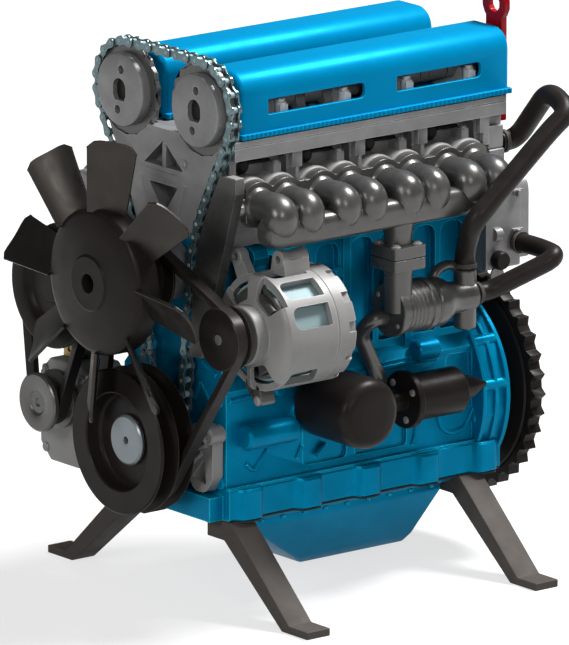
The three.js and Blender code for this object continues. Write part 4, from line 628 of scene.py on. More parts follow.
def cooling_fan():
    hub = [(2.6, -9.7), (7.3, -9.7), (7.8, -9.2), (13, -8.55), (18.4, -7.75), (19.4, -7.4), (20, -6.8)]
    hub += [(20.2, -6.1), (20.2, -0.9), (19.9, -0.6), (14, -0.6), (2.6, -0.6)]
    make("fan_wheel", lathe(hub, FAN, segments=96), "black_coat", "fan_assembly", "fan", bevel=0.25, angle=40)
    blades = [moved(fan_blade(math.radians(82.5 + 45 * i)), (0, 0, FAN_Z)) for i in range(8)]
    make("fan_blades", blades, "blade_coat", "fan_assembly", bevel=0.25, angle=40)
    rim = lathe([(2.6, -9.6), (3.4, -9.75), (4, -9.6), (3.8, -9.3), (2.6, -9.3)], FAN, segments=48)
    make("fan_bore_ring", rim, "black_coat", "fan_assembly", bevel=0.1)


def touch(circle, heading):
    """Where a line of that heading touches a circle, given as x, z, radius and turn. The turn is 1 where the
    loop runs round it counterclockwise, and -1 where it runs the other way."""
    x, z, radius, turn = circle
    return x + turn * radius * math.sin(heading), z - turn * radius * math.cos(heading)


def straight_headings(circles):
    """Heading of a loop's straight run after each of its circles."""
    headings = []
    for (x, z, radius, turn), after in zip(circles, circles[1:] + circles[:1]):
        next_x, next_z, next_radius, next_turn = after
        distance = math.hypot(next_x - x, next_z - z)
        lean = math.asin((next_turn * next_radius - turn * radius) / distance)
        headings.append(math.atan2(next_z - z, next_x - x) - lean)
    return headings


def belt_shape(wheels, y):
    """A V belt round wheels given as centre and radius."""
    circles = [(*centre, radius, 1) for centre, radius in wheels]
    headings = straight_headings(circles)
    half, inner_half = BELT_WIDTH / 2, BELT_WIDTH / 2 - BELT_DEPTH * BELT_TAPER
    shoulder, inner = BELT_RISE - 0.5, BELT_RISE - BELT_DEPTH
    section = [(BELT_RISE, -half), (BELT_RISE, half), (shoulder, half)]
    section += [(inner, inner_half), (inner, -inner_half), (shoulder, -half)]
    corners = []
    for i, (x, z, radius, _) in enumerate(circles):
        turn = (headings[i] - headings[i - 1]) % TAU
        steps = max(6, math.ceil(turn / math.radians(5)))
        for k in range(steps + 1):
            for offset, along in section:
                across, up = touch((x, z, radius + offset, 1), headings[i - 1] + turn * k / steps)
                corners.append(Vector((across, y + along, up)))
    return corners, skin(len(corners) // len(section), len(section), loop=True)


def belt_drive():
    profile = [(2.9, 4.6), (12.4, 4.6), (12.9, 4.2), (13.2, 3.6), (13.4, 0.3), (13.8, 0), (19.6, 0)]
    profile.append((20.1, 0.4))
    for y in (3.2, FAN_BELT_Y):
        profile += groove(20.1, CRANK_BELT_RADIUS, y)
    profile += [(20.1, 11), (19.7, 11.4), (9, 11.9), (6, 12.9), (2.9, 12.9)]
    make("crank_wheel", lathe(profile, segments=96), "black_coat", "crank", "crank_pulley", bevel=0.18)
    cap = [(1, 3.1), (1.6, 3), (6.4, 3), (7, 3.5), (7, 4.3), (1, 4.3)]
    make("crank_disc", lathe(cap), "machined_steel", "crank", "crank_cap", bevel=0.12)

    profile = [(0, -0.3), (15, -0.3), (15.2, 0.1), (12.9, 5.2), (12.6, 5.7)]
    profile += groove(12.6, FAN_BELT_RADIUS, FAN_BELT_Y)
    profile += [(12.4, 10.4), (11, 10.6), (2.2, 10.6), (2.2, 17.6), (0, 17.6)]
    pulley = lathe(profile, FAN, segments=72)
    make("fan_wheel_pulley", pulley, "black_coat", "fan_assembly", "fan_pulley", bevel=0.15)
    profile = [(0, 17.9), (2.5, 17.9), (2.5, 11.6), (5.7, 11.6), (6.2, 12)]
    profile += [(7.9, 13.3), (8.4, 13.9), (8.4, 19.7), (0, 19.7)]
    housing = lathe(profile, FAN, segments=48)
    make("water_pump_body", housing, "grey_casting", node="water_pump_housing", bevel=0.2)

    profile = [(1.9, 5.8), (8.2, 5.8), (8.6, 6.1)] + groove(8.6, ALTERNATOR_BELT_RADIUS, FAN_BELT_Y)
    profile += [(8.6, 10.7), (8.3, 11), (1.9, 11)]
    pulley = lathe(profile, ALTERNATOR)
    make("alternator_wheel", pulley, "black_coat", "rotor", "alternator_pulley", bevel=0.12)
    profile = [(0, 1.2), (4, 1.2), (4.6, 1.7), (4.8, 2.8), (9.9, 2.8), (10.6, 2.4), (11.7, 0.8)]
    profile += [(12.2, 0.6), (16.5, 0.6), (17, 1)]
    profile += groove(17, LARGE_BELT_RADIUS, SIDE_BELT_Y)
    profile += [(17, 7), (16.6, 7.4), (2.2, 7.4), (2.2, 13), (0, 13)]
    pulley = lathe(profile, LARGE_PULLEY, segments=72)
    make("large_wheel_pulley", pulley, "black_coat", "large_wheel", "large_pulley", bevel=0.15)
    profile = [(0, 0.9), (0.9, 0.9), (1.2, 0.5), (3, 0.5), (3.4, 0.2), (3.8, 0), (7.7, 0), (8.2, 0.4)]
    profile += groove(8.2, SMALL_BELT_RADIUS, SIDE_BELT_Y)
    profile += [(8.2, 7.7), (7.9, 8), (2.2, 8), (2.2, 14), (0, 14)]
    pulley = lathe(profile, SMALL_PULLEY)
    make("small_wheel_pulley", pulley, "dark_casting", "small_wheel", "small_pulley", bevel=0.12)

    wheels = [((0, 0), CRANK_BELT_RADIUS), (ALTERNATOR, ALTERNATOR_BELT_RADIUS), (FAN, FAN_BELT_RADIUS)]
    make("fan_drive_belt", belt_shape(wheels, FAN_BELT_Y), "black_rubber", node="fan_belt", bevel=0.1)
    wheels = [(LARGE_PULLEY, LARGE_BELT_RADIUS), (SMALL_PULLEY, SMALL_BELT_RADIUS)]
    make("side_drive_belt", belt_shape(wheels, SIDE_BELT_Y), "black_rubber", node="side_belt", bevel=0.1)


# Timing chain and its sprockets
def pitch_radius(count):
    """Radius of a sprocket's pitch circle, for its count of teeth."""
    return CHAIN_PITCH / 2 / math.sin(math.pi / count)


def chain_runs():
    """Runs of the chain's centre line in order. An arc is its length, circle, first heading and turn, and a
    straight its length and ends. The guides bend the chain outwards on wide circles."""
    cam_radius = pitch_radius(CAM_TEETH)
    guide_x, guide_z, guide_radius = 61.3, 42, 50
    circles = [(CAM_X, CAM_Z, cam_radius, 1), (-CAM_X, CAM_Z, cam_radius, 1)]
    circles += [(-guide_x, guide_z, guide_radius, -1), (0, 0, pitch_radius(CRANK_TEETH), 1)]
    circles.append((guide_x, guide_z, guide_radius, -1))
    headings = straight_headings(circles)
    runs = []
    for i, circle in enumerate(circles):
        turn = (circle[3] * (headings[i] - headings[i - 1])) % TAU
        runs.append((turn * circle[2], circle, headings[i - 1], turn))
        start, end = touch(circle, headings[i]), touch(circles[(i + 1) % len(circles)], headings[i])
        runs.append((math.dist(start, end), start, end))
    return runs


def chain_point(runs, distance):
    for length, *run in runs:
        if distance > length:
            distance -= length
            continue
        share = distance / length
        if len(run) == 2:
            start, end = run
            return start[0] + (end[0] - start[0]) * share, start[1] + (end[1] - start[1]) * share
        circle, heading, turn = run
        return touch(circle, heading + circle[3] * turn * share)


def link_plate(a, b, y):
    """A figure of eight plate round two pins."""
    radius, waist, thickness, wrap = 1.36, 0.82, 0.42, 2.1
    a, b = Vector(a), Vector(b)
    way = (b - a).normalized()
    side = Vector((-way.y, way.x))
    middle = (a + b) / 2
    heading = math.atan2(way.y, way.x)
    outline = arc(b, radius, heading - wrap, heading + wrap, 10) + [tuple(middle + side * waist)]
    heading += math.pi
    outline += arc(a, radius, heading - wrap, heading + wrap, 10) + [tuple(middle - side * waist)]
    return prism(outline, "y", y, y + thickness)


def timing_chain():
    runs = chain_runs()
    length = sum(run[0] for run in runs)
    count = 2 * round(length / CHAIN_PITCH / 2)
    places = [chain_point(runs, i * length / count) for i in range(count)]
    front, rear, plate_room, inner_inset = CHAIN_FRONT, CHAIN_REAR, 0.45, 0.5
    pin = [(0, front - 0.1), (0.5, front - 0.12), (0.62, front + 0.08), (0.62, rear), (0, rear)]
    plates, pins = [], []
    for i, place in enumerate(places):
        inset = inner_inset if i % 2 else 0
        for y in (front + inset, rear - plate_room - inset):
            plates.append(link_plate(place, places[(i + 1) % count], y))
        pins.append(lathe(pin, place, segments=12))
        pins.append(ring(0.55, 0.85, front + 1, rear - 1, place, segments=14))
    make("chain_plates", plates, "chain_steel", node="timing_chain", bevel=0.06, segments=1, angle=40)
    make("chain_pins", pins, "pale_core", angle=40)


def teeth(count):
    """Sprocket teeth with round roots that sit under the rollers."""
    pitch, root, root_wrap, front, rear = pitch_radius(count), 0.85, 1.15, 16.8, 18.0
    tip, step = pitch + 0.35, TAU / count
    tip_start, tip_end = step * 0.42, step * 0.58
    points = []
    for middle in [step * i for i in range(count)]:
        seat = Vector((math.cos(middle), math.sin(middle))) * pitch
        points += arc(seat, root, middle + math.pi - root_wrap, middle + math.pi + root_wrap, 6)
        points += around((0, 0), tip, (middle + tip_start, middle + tip_end))
    return prism(points, "y", front, rear)


def cam_sprocket(cam, side):
    def slot(half, foot_half, foot, front, rear):
        foot_points = [(-half, -1.6), (-foot_half, foot), (foot_half, foot), (half, -1.6)]
        return prism(arc((0, 0.4), half, 0, math.pi, 16) + foot_points, "y", front, rear)

    at, body = (side * CAM_X, 0, CAM_Z), f"{cam}_cam"
    disc = lathe([(0, 13.9), (9.4, 13.9), (9.9, 14.15), (10.1, 14.6), (10.1, 17.1), (0, 17.1)], segments=72)
    hub = ring(2.7, 3.6, 17, 19.5, segments=32)
    cuts = [slot(2.8, 2, -3, 13, 15.9)]
    cuts += [rod((x, 13, z), (x, 15.9, z), 1.25) for x, z in ((0.8, 5.6), (-0.8, -5.6))]
    make(f"{cam}_cam_wheel", moved(merged([disc, hub]), at), "grey_casting", body, f"{cam}_cam_sprocket",
         cuts=[moved(cut, at) for cut in cuts], bevel=0.1)
    make(f"{cam}_cam_wheel_teeth", moved(teeth(CAM_TEETH), at), "dark_casting", body, bevel=0.08)
    # A black plug at the bottom of the slot is painted shade, darkening the recess.
    make(f"{cam}_cam_wheel_slot_shade", moved(slot(2.72, 1.95, -2.9, 15.3, 16), at), "black_coat", body)


def crank_sprocket():
    hub = lathe([(2.9, 13.2), (3.6, 13.2), (3.9, 13.5), (3.9, 19.7), (2.9, 19.7)], segments=40)
    wheel = [hub, teeth(CRANK_TEETH)]
    make("crank_wheel_sprocket", wheel, "grey_casting", "crank", "crank_sprocket", bevel=0.08)


# Cam covers, camshafts and their bearing caps
def cam_cover(cam, side):
    bottom, front, rear, wall = 85, 22.3, 116, 1.3

    def outline(inset, foot):
        half, top, radius = 9.3 - inset, 103 - inset, 5.8 - inset
        x, z = half - radius, top - radius
        points = [(-half, foot), (half, foot)] + arc((x, z), radius, 0, math.pi / 2, 16)
        return points + arc((-x, z), radius, math.pi / 2, math.pi, 16)

    round_end = [(0, 1.4), (0.35, 0.75), (0.9, 0.25), (1.6, 0)]
    sections = [(outline(inset, bottom), front + back) for back, inset in round_end]
    sections += [(outline(inset, bottom), rear - back) for back, inset in reversed(round_end)]
    cuts = [prism(outline(wall, bottom - 1), "y", 23.9, 114.4), rod((0, 21, CAM_Z), (0, 25, CAM_Z), 2.7)]
    for span in ((32, 65.3), (76.3, 105.8)):
        cuts.append(prism(panel(span, (90.8, 95), [0.5, 1.8, 1.8, 0.5], 6), "x", *on_side(side, 7, 11)))
    at = (side * CAM_X, 0, 0)
    make(f"{cam}_cover_shell", moved(loft(sections), at), "cover_paint", node=f"{cam}_cam_cover",
         cuts=[moved(cut, at) for cut in cuts], bevel=0.16, angle=38)
    waves = 124
    edge = [(10.2 + 0.38 * (i % 2), front + (rear - front) * i / waves) for i in range(waves + 1)]
    lip = prism(edge + [(-x, y) for x, y in reversed(edge)], "z", bottom, 86.5)
    make(f"{cam}_cover_shell_lip", moved(lip, at), "cover_paint", bevel=0.22)


def camshaft(cam, side):
    base, nose_reach, nose_radius, lobe_half = 3.2, 3.6, 1.4, 1.4
    parts = [rod((0, 16.6, 0), (0, 111.6, 0), 2.4, 36)]
    for y, quarter in zip(BORES, (0, 3, 1, 2)):
        turn = side * math.pi / 4 + quarter * math.pi / 2
        lobe = arc((0, 0), base, turn + math.pi / 2, turn + 3 * math.pi / 2, 20)
        nose = around((0, 0), nose_reach, [turn])[0]
        lobe += arc(nose, nose_radius, turn - math.pi / 2, turn + math.pi / 2, 12)
        for middle in (y + PORT_OFFSETS[0], y + PORT_OFFSETS[1]):
            parts.append(prism(lobe, "y", middle - lobe_half, middle + lobe_half))
        for middle, half in ((y, 3.2), (y + 12.2, 3.3)):
            front, rear = middle - half, middle + half
            collar = [(2.3, front), (3.1, front + 0.2), (3.1, rear - 0.2), (2.3, rear)]
            parts.append(lathe(collar, segments=36))
    bar = moved(merged(parts), (side * CAM_X, 0, CAM_Z))
    make(f"{cam}_camshaft_bar", bar, "bright_alloy", f"{cam}_cam", f"{cam}_camshaft", bevel=0.1)


def bearing_caps():
    outline = [(-7.8, 84.8), (7.8, 84.8), (7.8, 92.4), (4.2, 92.8)]
    outline += arc((0, CAM_Z), 3.75, 0.15, math.pi - 0.15, 16) + [(-4.2, 92.8), (-7.8, 92.4)]
    parts = []
    for middle in (CAM_X, -CAM_X):
        for y in [wall - 3.0 for wall in WALLS[1:]]:
            parts.append(moved(prism(outline, "y", y - 1.3, y + 1.3), (middle, 0, 0)))
            for x in (middle - 6.2, middle + 6.2):
                parts.append(bolt((x, y, 92.6), (0, 0, 1), 1.2, 1.3))
                parts.append(rod((x, y, 86), (x, y, 92.7), 1.62, 20))
    bores = [rod((side * CAM_X, 30, CAM_Z), (side * CAM_X, 112, CAM_Z), 2.75, 32) for side in SIDES]
    make("cam_bearing_caps", parts, "cap_alloy", cuts=bores, knit=True, bevel=0.12)


# Cylinder head, with a pocket over each pair of ports on both sides
def cylinder_head():
    cuts = [box(on_side(side, 26.25, 27.5), (19, 115.5), (82.9, 83.25)) for side in SIDES]
    cuts.append(box((24.3, 28), (19, 106.7), (67, 75.2)))
    for start, end in BAYS:
        pocket = panel((start + 2.2, end - 2.2), (72.6, 78.8), 1.1, 5)
        cuts += [prism(pocket, "x", *on_side(side, 20.5, 28)) for side in SIDES]
    cuts += [box(on_side(side, 8, 25), (y - 1.7, y + 1.7), (86.2, 99)) for side in SIDES for y in WALLS[1:]]
    soften("cylinder_head", "grey_casting", 0.22, cuts=cuts)
    profile = [(0, 20.2), (2, 20.2), (2.3, 22.6), (1.2, 23.6), (0, 23.6)]
    caps, posts, domes, painted_pocket_shade = [], [], [], []
    for start, end in BAYS:
        middle = (start + end) / 2
        for side in SIDES:
            posts.append(box(on_side(side, 20.5, 25.4), (end - 7.4, end - 4.9), (73.5, 77.1)))
            caps.append(bolt((side * 24.4, end - 6.15, 77.15), (0, 0, 1), 0.8, 0.6))
            for offset in PORT_OFFSETS:
                at = (middle + offset, PORT_Z)
                domes.append(boss(at, 6.95, side * 20.5, side * 26.65, (0.35, 0.65), segments=48))
            # Each pocket gets a black button and a black bar: painted shade in the pocket's upper part.
            seat = [(radius, side * x) for radius, x in profile]
            painted_pocket_shade.append(lathe(seat, (middle - 5.2, 77.1), "x", 28))
            painted_pocket_shade.append(rod((side * 21.4, middle - 7.6, 77.6), (side * 22.2, middle + 4.2, 77.4), 0.55, 16))
    make("head_posts", posts, "grey_casting", bevel=0.25)
    make("head_post_caps", caps, "bright_alloy", bevel=0.08)
    make("port_domes", domes, "bright_alloy", bevel=0.2)
    # Black pieces that paint shade into the head's pockets.
    make("painted_pocket_shade_pieces", painted_pocket_shade, "black_coat", bevel=0.1)
    ribs = [box((25.5, 26.15), (y - 0.45, y + 0.45), (71.9, 79.2)) for y in WALLS[1:]]
    make("head_post_ribs", ribs, "grey_casting", bevel=0.2)
    steps = [box((24.3, x), (108.2, 113.7), z) for x, z in ((26.4, (64, 70)), (25.8, (70, 76.5)))]
    make("head_rear_steps", steps, "grey_casting", bevel=0.5)
    braces = [box((-0.8, 0.8), (16.5, 20.2), (73.6, 81.8)), box((-11, 11), (16.2, 17.2), (70.3, 72.6))]
    braces += [rod((side * 6.5, 16.9, 61.5), (side * 9.5, 16.9, 70.5), 0.9) for side in SIDES]
    braces.append(bolt((8.7, 16.3, 76.2), (0, -1, 0), 1.1, 0.7))
    make("head_front_braces", braces, "grey_casting", bevel=0.25)


# Exhaust side: the manifold, the cooler below it and the pipes
PAD = panel((30.5, 41.5), (63, 74), 1)


def wavy_flange():
    """One outline of arcs round all the ports, which meet in a waist between two ports."""
    radius, overlap = 6.3, 0.35
    end = math.acos((PORT_OFFSETS[1] - overlap) / radius)
    points = []
    for y in PORTS:
        points += arc((y, PORT_Z), radius, math.pi - end, end, 10)
    for y in reversed(PORTS):
        points += arc((y, PORT_Z), radius, -end, end - math.pi, 10)
    return prism(points, "x", 26.7, 29.3)


def exhaust_manifold():
    """Paired elbows over a wavy flange, joined by one log."""
    ear = arc((20.6, 66.9), 2.7, math.pi * 0.5, math.pi * 1.5, 10) + [(26, 64.2), (26, 69.6)]
    make("manifold_flange", [wavy_flange(), prism(ear, "x", 26.8, 29.1)], "dark_casting", bevel=0.2, angle=44)
    parts = []
    for i, y in enumerate(PORTS):
        out_y = y - 0.2 if i % 2 else y + 0.2
        corners = [(28.4, y, 67.4), (38.3, out_y, 67.6), (38.7, out_y, 63.4), (34.6, out_y, 62.6)]
        route = bends(corners, 2.9, 12)
        radii = [4.25 + 0.5 * math.sin(math.pi * k / (len(route) - 1)) for k in range(len(route))]
        parts.append(tube(route, radii, 28))
        parts.append(lathe([(4.1, 28.6), (5, 28.9), (4.7, 29.8), (4.1, 30.4)], (y, PORT_Z), "x", 32))
    section = panel((31.9, 41.5), (57.1, 65.3), [3.8, 3.8, 3.2, 3.2], 8)
    middle = Vector((36.7, 61.2))
    first, last = PORTS[0] - 4.5, 100.6
    stations = [(0.3, first), (0.66, first + 0.5), (0.88, first + 1.7), (1, first + 3.8)]
    stations += [(1, last - 4.2), (0.88, last - 1.8), (0.66, last - 0.5), (0.3, last)]
    rows = []
    for share, y in stations:
        rows.append(([tuple(middle + (Vector(point) - middle) * share) for point in section], y))
    parts.append(loft(rows))
    neck = [(4.7, 60), (4.5, 57.6), (4.1, 55.6), (3.8, 53.8), (3.8, 48.6), (0, 48.6), (0, 60)]
    parts += [lathe(neck, DOWN_PIPE, "z", 36), prism(PAD, "z", 48.62, 51.7)]
    make("manifold_casting", parts, "dark_casting", node="exhaust_manifold", bevel=0.14, angle=44)
    bolts = [bolt((29, y, 64.3), (1, 0, 0), 1.35, 1.3) for y in WALLS[1:4]]
    make("manifold_bolts", bolts, "black_coat", bevel=0.08)
    silver = [bolt((29, 20, 66.9), (1, 0, 0), 1.15, 0.7)]
    places = ((32.3, 64.8), (39.7, 64.8), (39.7, 72.2), (32.3, 72.2))
    silver += [bolt((x, y, 51.75), (0, 0, 1), 1, 0.75) for x, y in places]
    make("manifold_flange_bolts", silver, "bright_alloy", bevel=0.08)


def rivets(at, radius, turns, profile, segments):
    return [lathe(profile, place, "y", segments) for place in around(at, radius, turns)]


def gas_cooler():
    x, z = COOLER
    profile = [(0, 66.6), (7.1, 66.6), (7.5, 66.9), (7.5, 68.6), (7.2, 68.9), (6.8, 68.9)]
    for y in [69.5 + 1.35 * i for i in range(5)]:
        profile += [(6.8, y), (6.6, y + 0.15), (6.6, y + 0.55), (6.85, y + 0.7)]
    profile += [(6.85, 77.2), (7.35, 77.5), (7.35, 79.2), (6.9, 79.5), (6.5, 80.3)]
    profile += [(6.85, 80.9), (6.85, 83.4), (6.2, 85), (5, 87), (4.5, 88.4)]
    profile += [(4.4, 90), (4.4, 95.3), (4, 95.7), (0, 95.7)]
    parts = [lathe(profile, COOLER, "y", 56), prism(PAD, "z", 45.2, 48.3)]
    parts.append(lathe([(0, 33), (3.9, 33), (3.9, 43.4), (4.3, 45.3), (0, 45.3)], DOWN_PIPE, "z", 32))
    riser = [(0, 24), (2.6, 24), (3.1, 24.5), (3.1, 40.2), (2.8, 40.6), (0, 40.6)]
    parts.append(lathe(riser, COOLER_RISER, "z", 36))
    parts.append(rod((19.7, 79, z), (x, 79, z), 3, 28))
    loop = around((0, 0), 1, [math.pi * k / 16 for k in range(17)])
    parts.append(tube([Vector((x - 1.5, 88.2 - 4.6 * a, 38.6 + 3.4 * b)) for a, b in loop], 1.35, 20))
    make("gas_cooler_casting", parts, "dark_casting", node="gas_cooler", bevel=0.12, angle=40)
    profile = [(0, 66.2), (0.5, 66.25), (0.75, 66.5), (0.75, 66.8), (0, 66.8)]
    turns = (0.72, -0.72, math.pi + 0.72, math.pi - 0.72)
    make("cooler_rivets", rivets(COOLER, 5.6, turns, profile, 16), "bright_alloy")


def pipes():
    drain = [(33, 66.3, 31), (33, 61.9, 31), (26.6, 62.7, 25.6), (26.4, 70.6, 10.6), (22.7, 70.6, 10.6)]
    upper = [(34, 93.5, 40.9), (34, 93.5, 45.6), (44.4, 87.5, 56), (46.8, 113, 79), (48.4, 118, 83.5),
             (38, 119.6, 87.5), (23.2, 120.4, 71), (23.2, 114.25, 71)]
    lower = [(34, 96.9, 33), (34, 102.4, 33), (45.6, 117, 42.6), (38, 118.4, 43), (26.3, 118.4, 43)]
    for name, node, look, corners, bend, radius, sides in (
            ("drain_pipe", "elbow_pipe", "dark_casting", drain, 3.6, 2.15, 28),
            ("upper_hose_skin", "upper_hose", "black_rubber", upper, 5.2, 2.85, 32),
            ("lower_hose_skin", "lower_hose", "black_rubber", lower, 5.2, 2.65, 32)):
        make(name, tube(bends(corners, bend, 14), radius, sides), look, node=node, bevel=0.1)
    clamps = [ring(2.9, 3.3, 41.1, 42.3, COOLER_RISER, "z"), ring(2.7, 3.1, 97.2, 98.3, COOLER)]
    clamps += [ring(2.9, 3.3, 115, 116.1, (23.2, 71)), ring(2.7, 3.1, 27.2, 28.3, (118.4, 43), "x")]
    make("hose_clamps", clamps, "leg_steel", bevel=0.12)


def alternator_cuts():
    """Windows along the case, wedges in its front dome and notches in its rear rim, about its own axis."""
    long_window = panel((20.4, 32.8), (-3.1, 3.1), [2.8, 0.35, 0.35, 2.8], 7)
    short_window = rounded([(20.6, -3.1), (31, -3.1), (29.4, 3.1), (20.6, 3.1)], [1.6, 0.4, 0.4, 1.6], 5)
    turned = [(prism(long_window, "x", 12, 19), turn) for turn in (23, 53.5, 84, 205, 235, 265)]
    turned += [(prism(short_window, "x", 12, 19), turn) for turn in (-45, 135)]
    cuts = [turned_by(shape, Matrix.Rotation(-math.radians(turn), 3, "Y")) for shape, turn in turned]
    for middle in [math.radians(turn) for turn in (58, 118, 180, 240, 288)]:
        wedge = around((0, 0), 9.4, [middle - 0.34]) + arc((0, 0), 17, middle - 0.38, middle + 0.38, 8)
        wedge += around((0, 0), 9.4, [middle + 0.34])
        cuts.append(prism(rounded(wedge, 0.7, 3), "y", 12, 19.6))
    notch = box((14.9, 17.5), (38.1, 42), (-1.5, 1.5))
    return cuts + [turned_by(notch, Matrix.Rotation(-TAU * (i + 0.2) / 12, 3, "Y")) for i in range(12)]


def alternator_lug(hole, start, end, half):
    """A lug on the case round a bore that is cut later, with a collar at each end of a long one."""
    bore, radius = 1.15, 2.45
    middle, hole = Vector(ALTERNATOR), Vector(hole)
    away = (hole - middle).normalized()
    foot = middle + away * 15.0
    side = Vector((-away.y, away.x))
    wide = side * (half + 0.7)
    outline = [hole + side * half, foot + wide, foot - wide, hole - side * half]
    web = prism([tuple(point) for point in outline], "y", start + 0.25, end - 0.25)
    profile = [(bore, start), (radius - 0.2, start), (radius, start + 0.3)]
    if end - start > 6:
        waist = radius - 0.4
        profile += [(radius, start + 1.8), (waist, start + 2.6), (waist, end - 2.6), (radius, end - 1.8)]
    profile += [(radius, end - 0.3), (radius - 0.2, end), (bore, end)]
    return [web, lathe(profile, hole, "y", 32)]


def alternator():
    outer = [(3.2, 13.1), (8, 13.1), (8.2, 13.4), (8.2, 16.8), (9, 17), (13.8, 17.4)]
    outer += [(15.1, 17.9), (15.8, 18.6), (16, 19.6), (16, 34.4), (15.8, 34.6), (15.8, 34.9)]
    outer += [(16, 35.1), (16, 40.3), (15.4, 41), (12.9, 41)]
    inner = [(12.9, 39.4), (14.1, 38.8), (14.1, 19.4), (12.9, 18.7)]
    inner += [(8.8, 18.1), (6.4, 17.8), (6.4, 14.6), (3.2, 14.6)]
    at = (ALTERNATOR[0], 0, ALTERNATOR[1])
    make("alternator_case", lathe(outer + inner, ALTERNATOR, "y", 96), "bright_alloy", node="alternator_body",
         cuts=[moved(cut, at) for cut in alternator_cuts()], bevel=0.14, angle=36)
    make("stator_core", ring(11.9, 13.4, 20.6, 34.2, ALTERNATOR, segments=72), "pale_core", bevel=0.1)
    winding = [(11.2, 19.6), (11.8, 19.3), (12.4, 19.6), (12.7, 20.5), (11.2, 20.5)]
    make("stator_winding", lathe(winding, ALTERNATOR, "y", 72), "dark_casting")
    holes = ((25.7, 53.3), (37.4, 53.9))
    lugs = alternator_lug(holes[0], 20.6, 23.6, 2) + alternator_lug(holes[1], 25.8, 34.8, 2.5)
    bores = [rod((x, 20, z), (x, 36, z), 1.15) for x, z in holes]
    make("alternator_lugs", lugs, "bright_alloy", cuts=bores, knit=True, bevel=0.2)
    low = rounded([(31.5, 21.6), (37.5, 19.9), (38.6, 14.8), (35.6, 13.8), (33.8, 16.4), (31, 18.6)], 1)
    make("alternator_low_lug", prism(low, "y", 19.6, 24.4), "dark_casting", bevel=0.35)
    make("alternator_low_bolt", bolt((36.8, 19.5, 15.8), (0, -1, 0), 1, 0.6), "bright_alloy", bevel=0.08)


def starter_and_filter():
    profile = [(0, 22.7), (7.6, 22.7), (9.3, 23.4), (9.7, 24), (9.8, 25), (9.8, 42.2)]
    profile += arc((6.2, 42.6), 3.6, math.pi / 20, math.pi / 2, 9) + [(5.4, 46.38), (4, 46.47), (0, 46.5)]
    make("oil_filter_can", lathe(profile, OIL_FILTER, "x", 80), "black_coat", node="oil_filter", angle=50)
    profile = [(0, 66), (2.7, 66), (3, 66.3), (3, 74), (7.7, 74), (8, 74.3)]
    profile += [(8, 75.9), (7.7, 76.2), (6.5, 76.2), (6.5, 92.4), (6, 93), (3.7, 93.2)]
    profile += [(3.5, 93.6), (3.3, 97.4), (0.6, 103.4), (0, 103.5)]
    starter = lathe(profile, STARTER, "y", 60)
    make("starter_casting", starter, "black_coat", node="starter_motor", bevel=0.14, angle=40)
    profile = [(0, 73.3), (0.7, 73.35), (1, 73.6), (1, 74.1), (0, 74.1)]
    make("starter_bolts", rivets(STARTER, 5.6, (0.55, 2.3, -1.2, -2.6), profile, 20), "bright_alloy")
    knob = [(0, 26.3), (2.2, 26.3), (2.6, 26.8), (2.6, 28.8), (2.2, 29.5), (0, 29.5)]
    make("tap_knob", lathe(knob, (111, 39), "x", 24), "black_coat", node="drain_tap", bevel=0.1)
    disc = prism(arc((111.2, 34.6), 2.3, 0, TAU * 0.97, 26), "x", 25.9, 26.6)
    make("tap_label_disc", disc, "bright_alloy", bevel=0.15)


# Block: its bays, waved rails, ribs and bosses, the bell behind it and the sump below
def rail_edge(side):
    """Edge of the lower rail on one side, swelling at each of its five bosses."""
    reach, swell, half, steepness = 24.15, 2.5, 3.7, 2.6
    centres = [26.4 + i * 20.46 for i in range(5)]
    edge = []
    for y in [19.8 + 0.5 * i for i in range(190)]:
        near = min(abs(y - centre) for centre in centres)
        edge.append((side * (reach + swell / (1 + math.exp((near - half) * steepness))), y))
    return edge


def block_casting():
    cuts = [box(on_side(side, 23.3, 30), (19, 116), (-21.5, -11.9)) for side in SIDES]
    cuts.append(box((22.42, 30), (23, 42), (-3, 7.5)))
    for start, end in BAYS:
        middle = (start + end) / 2
        for side in SIDES:
            for span in ((start + 2, middle - 0.9), (middle + 0.9, end - 2)):
                bay = panel(span, (20.4, 50.3), [0.8, 0.8, 3.6, 3.6], 6)
                cuts.append(prism(bay, "x", *on_side(side, 17.2, 20.3)))
    pocket = rounded([(95.8, -1.5), (105.8, -0.5), (105.4, 13.2), (96.6, 13.6)], 1.6, 5)
    for side in SIDES:
        cuts.append(prism(pocket, "x", *on_side(side, 21, 23.5)))
        for span in ((46.5, 61.5), (64.5, 82.5)):
            cuts.append(prism(panel(span, (-9.5, 12), 1.4), "x", *on_side(side, 21.4, 23.5)))
    soften("block", "block_paint", 0.3, cuts=cuts)


def block_rails():
    low, high = -20.66, -12.0
    parts = []
    for side in SIDES:
        front, rear = [(side * 22.6, 19.8)], [(side * 22.6, 114.8)]
        edge = rail_edge(side)
        full, drawn_in = front + edge + rear, front + [(x - side * 0.55, y) for x, y in edge] + rear
        parts.append(loft([(drawn_in, low), (full, low + 0.5), (full, high - 0.7), (drawn_in, high)], "z"))
        parts.append(box(on_side(side, 22, 23.9), (20, 114.6), (-12.2, -11.4)))
        if side > 0:
            gallery = [(0, 23.9), (2.9, 24.1), (3.5, 24.9), (3.5, 40.9), (2.9, 41.7), (0, 41.9)]
            parts.append(lathe(gallery, (24.7, 2.2), "y", 44))
        else:
            parts.append(box((-24, -22), (30, 60), (-1, 5)))
    make("block_rails", parts, "block_paint", bevel=0.12, angle=50)


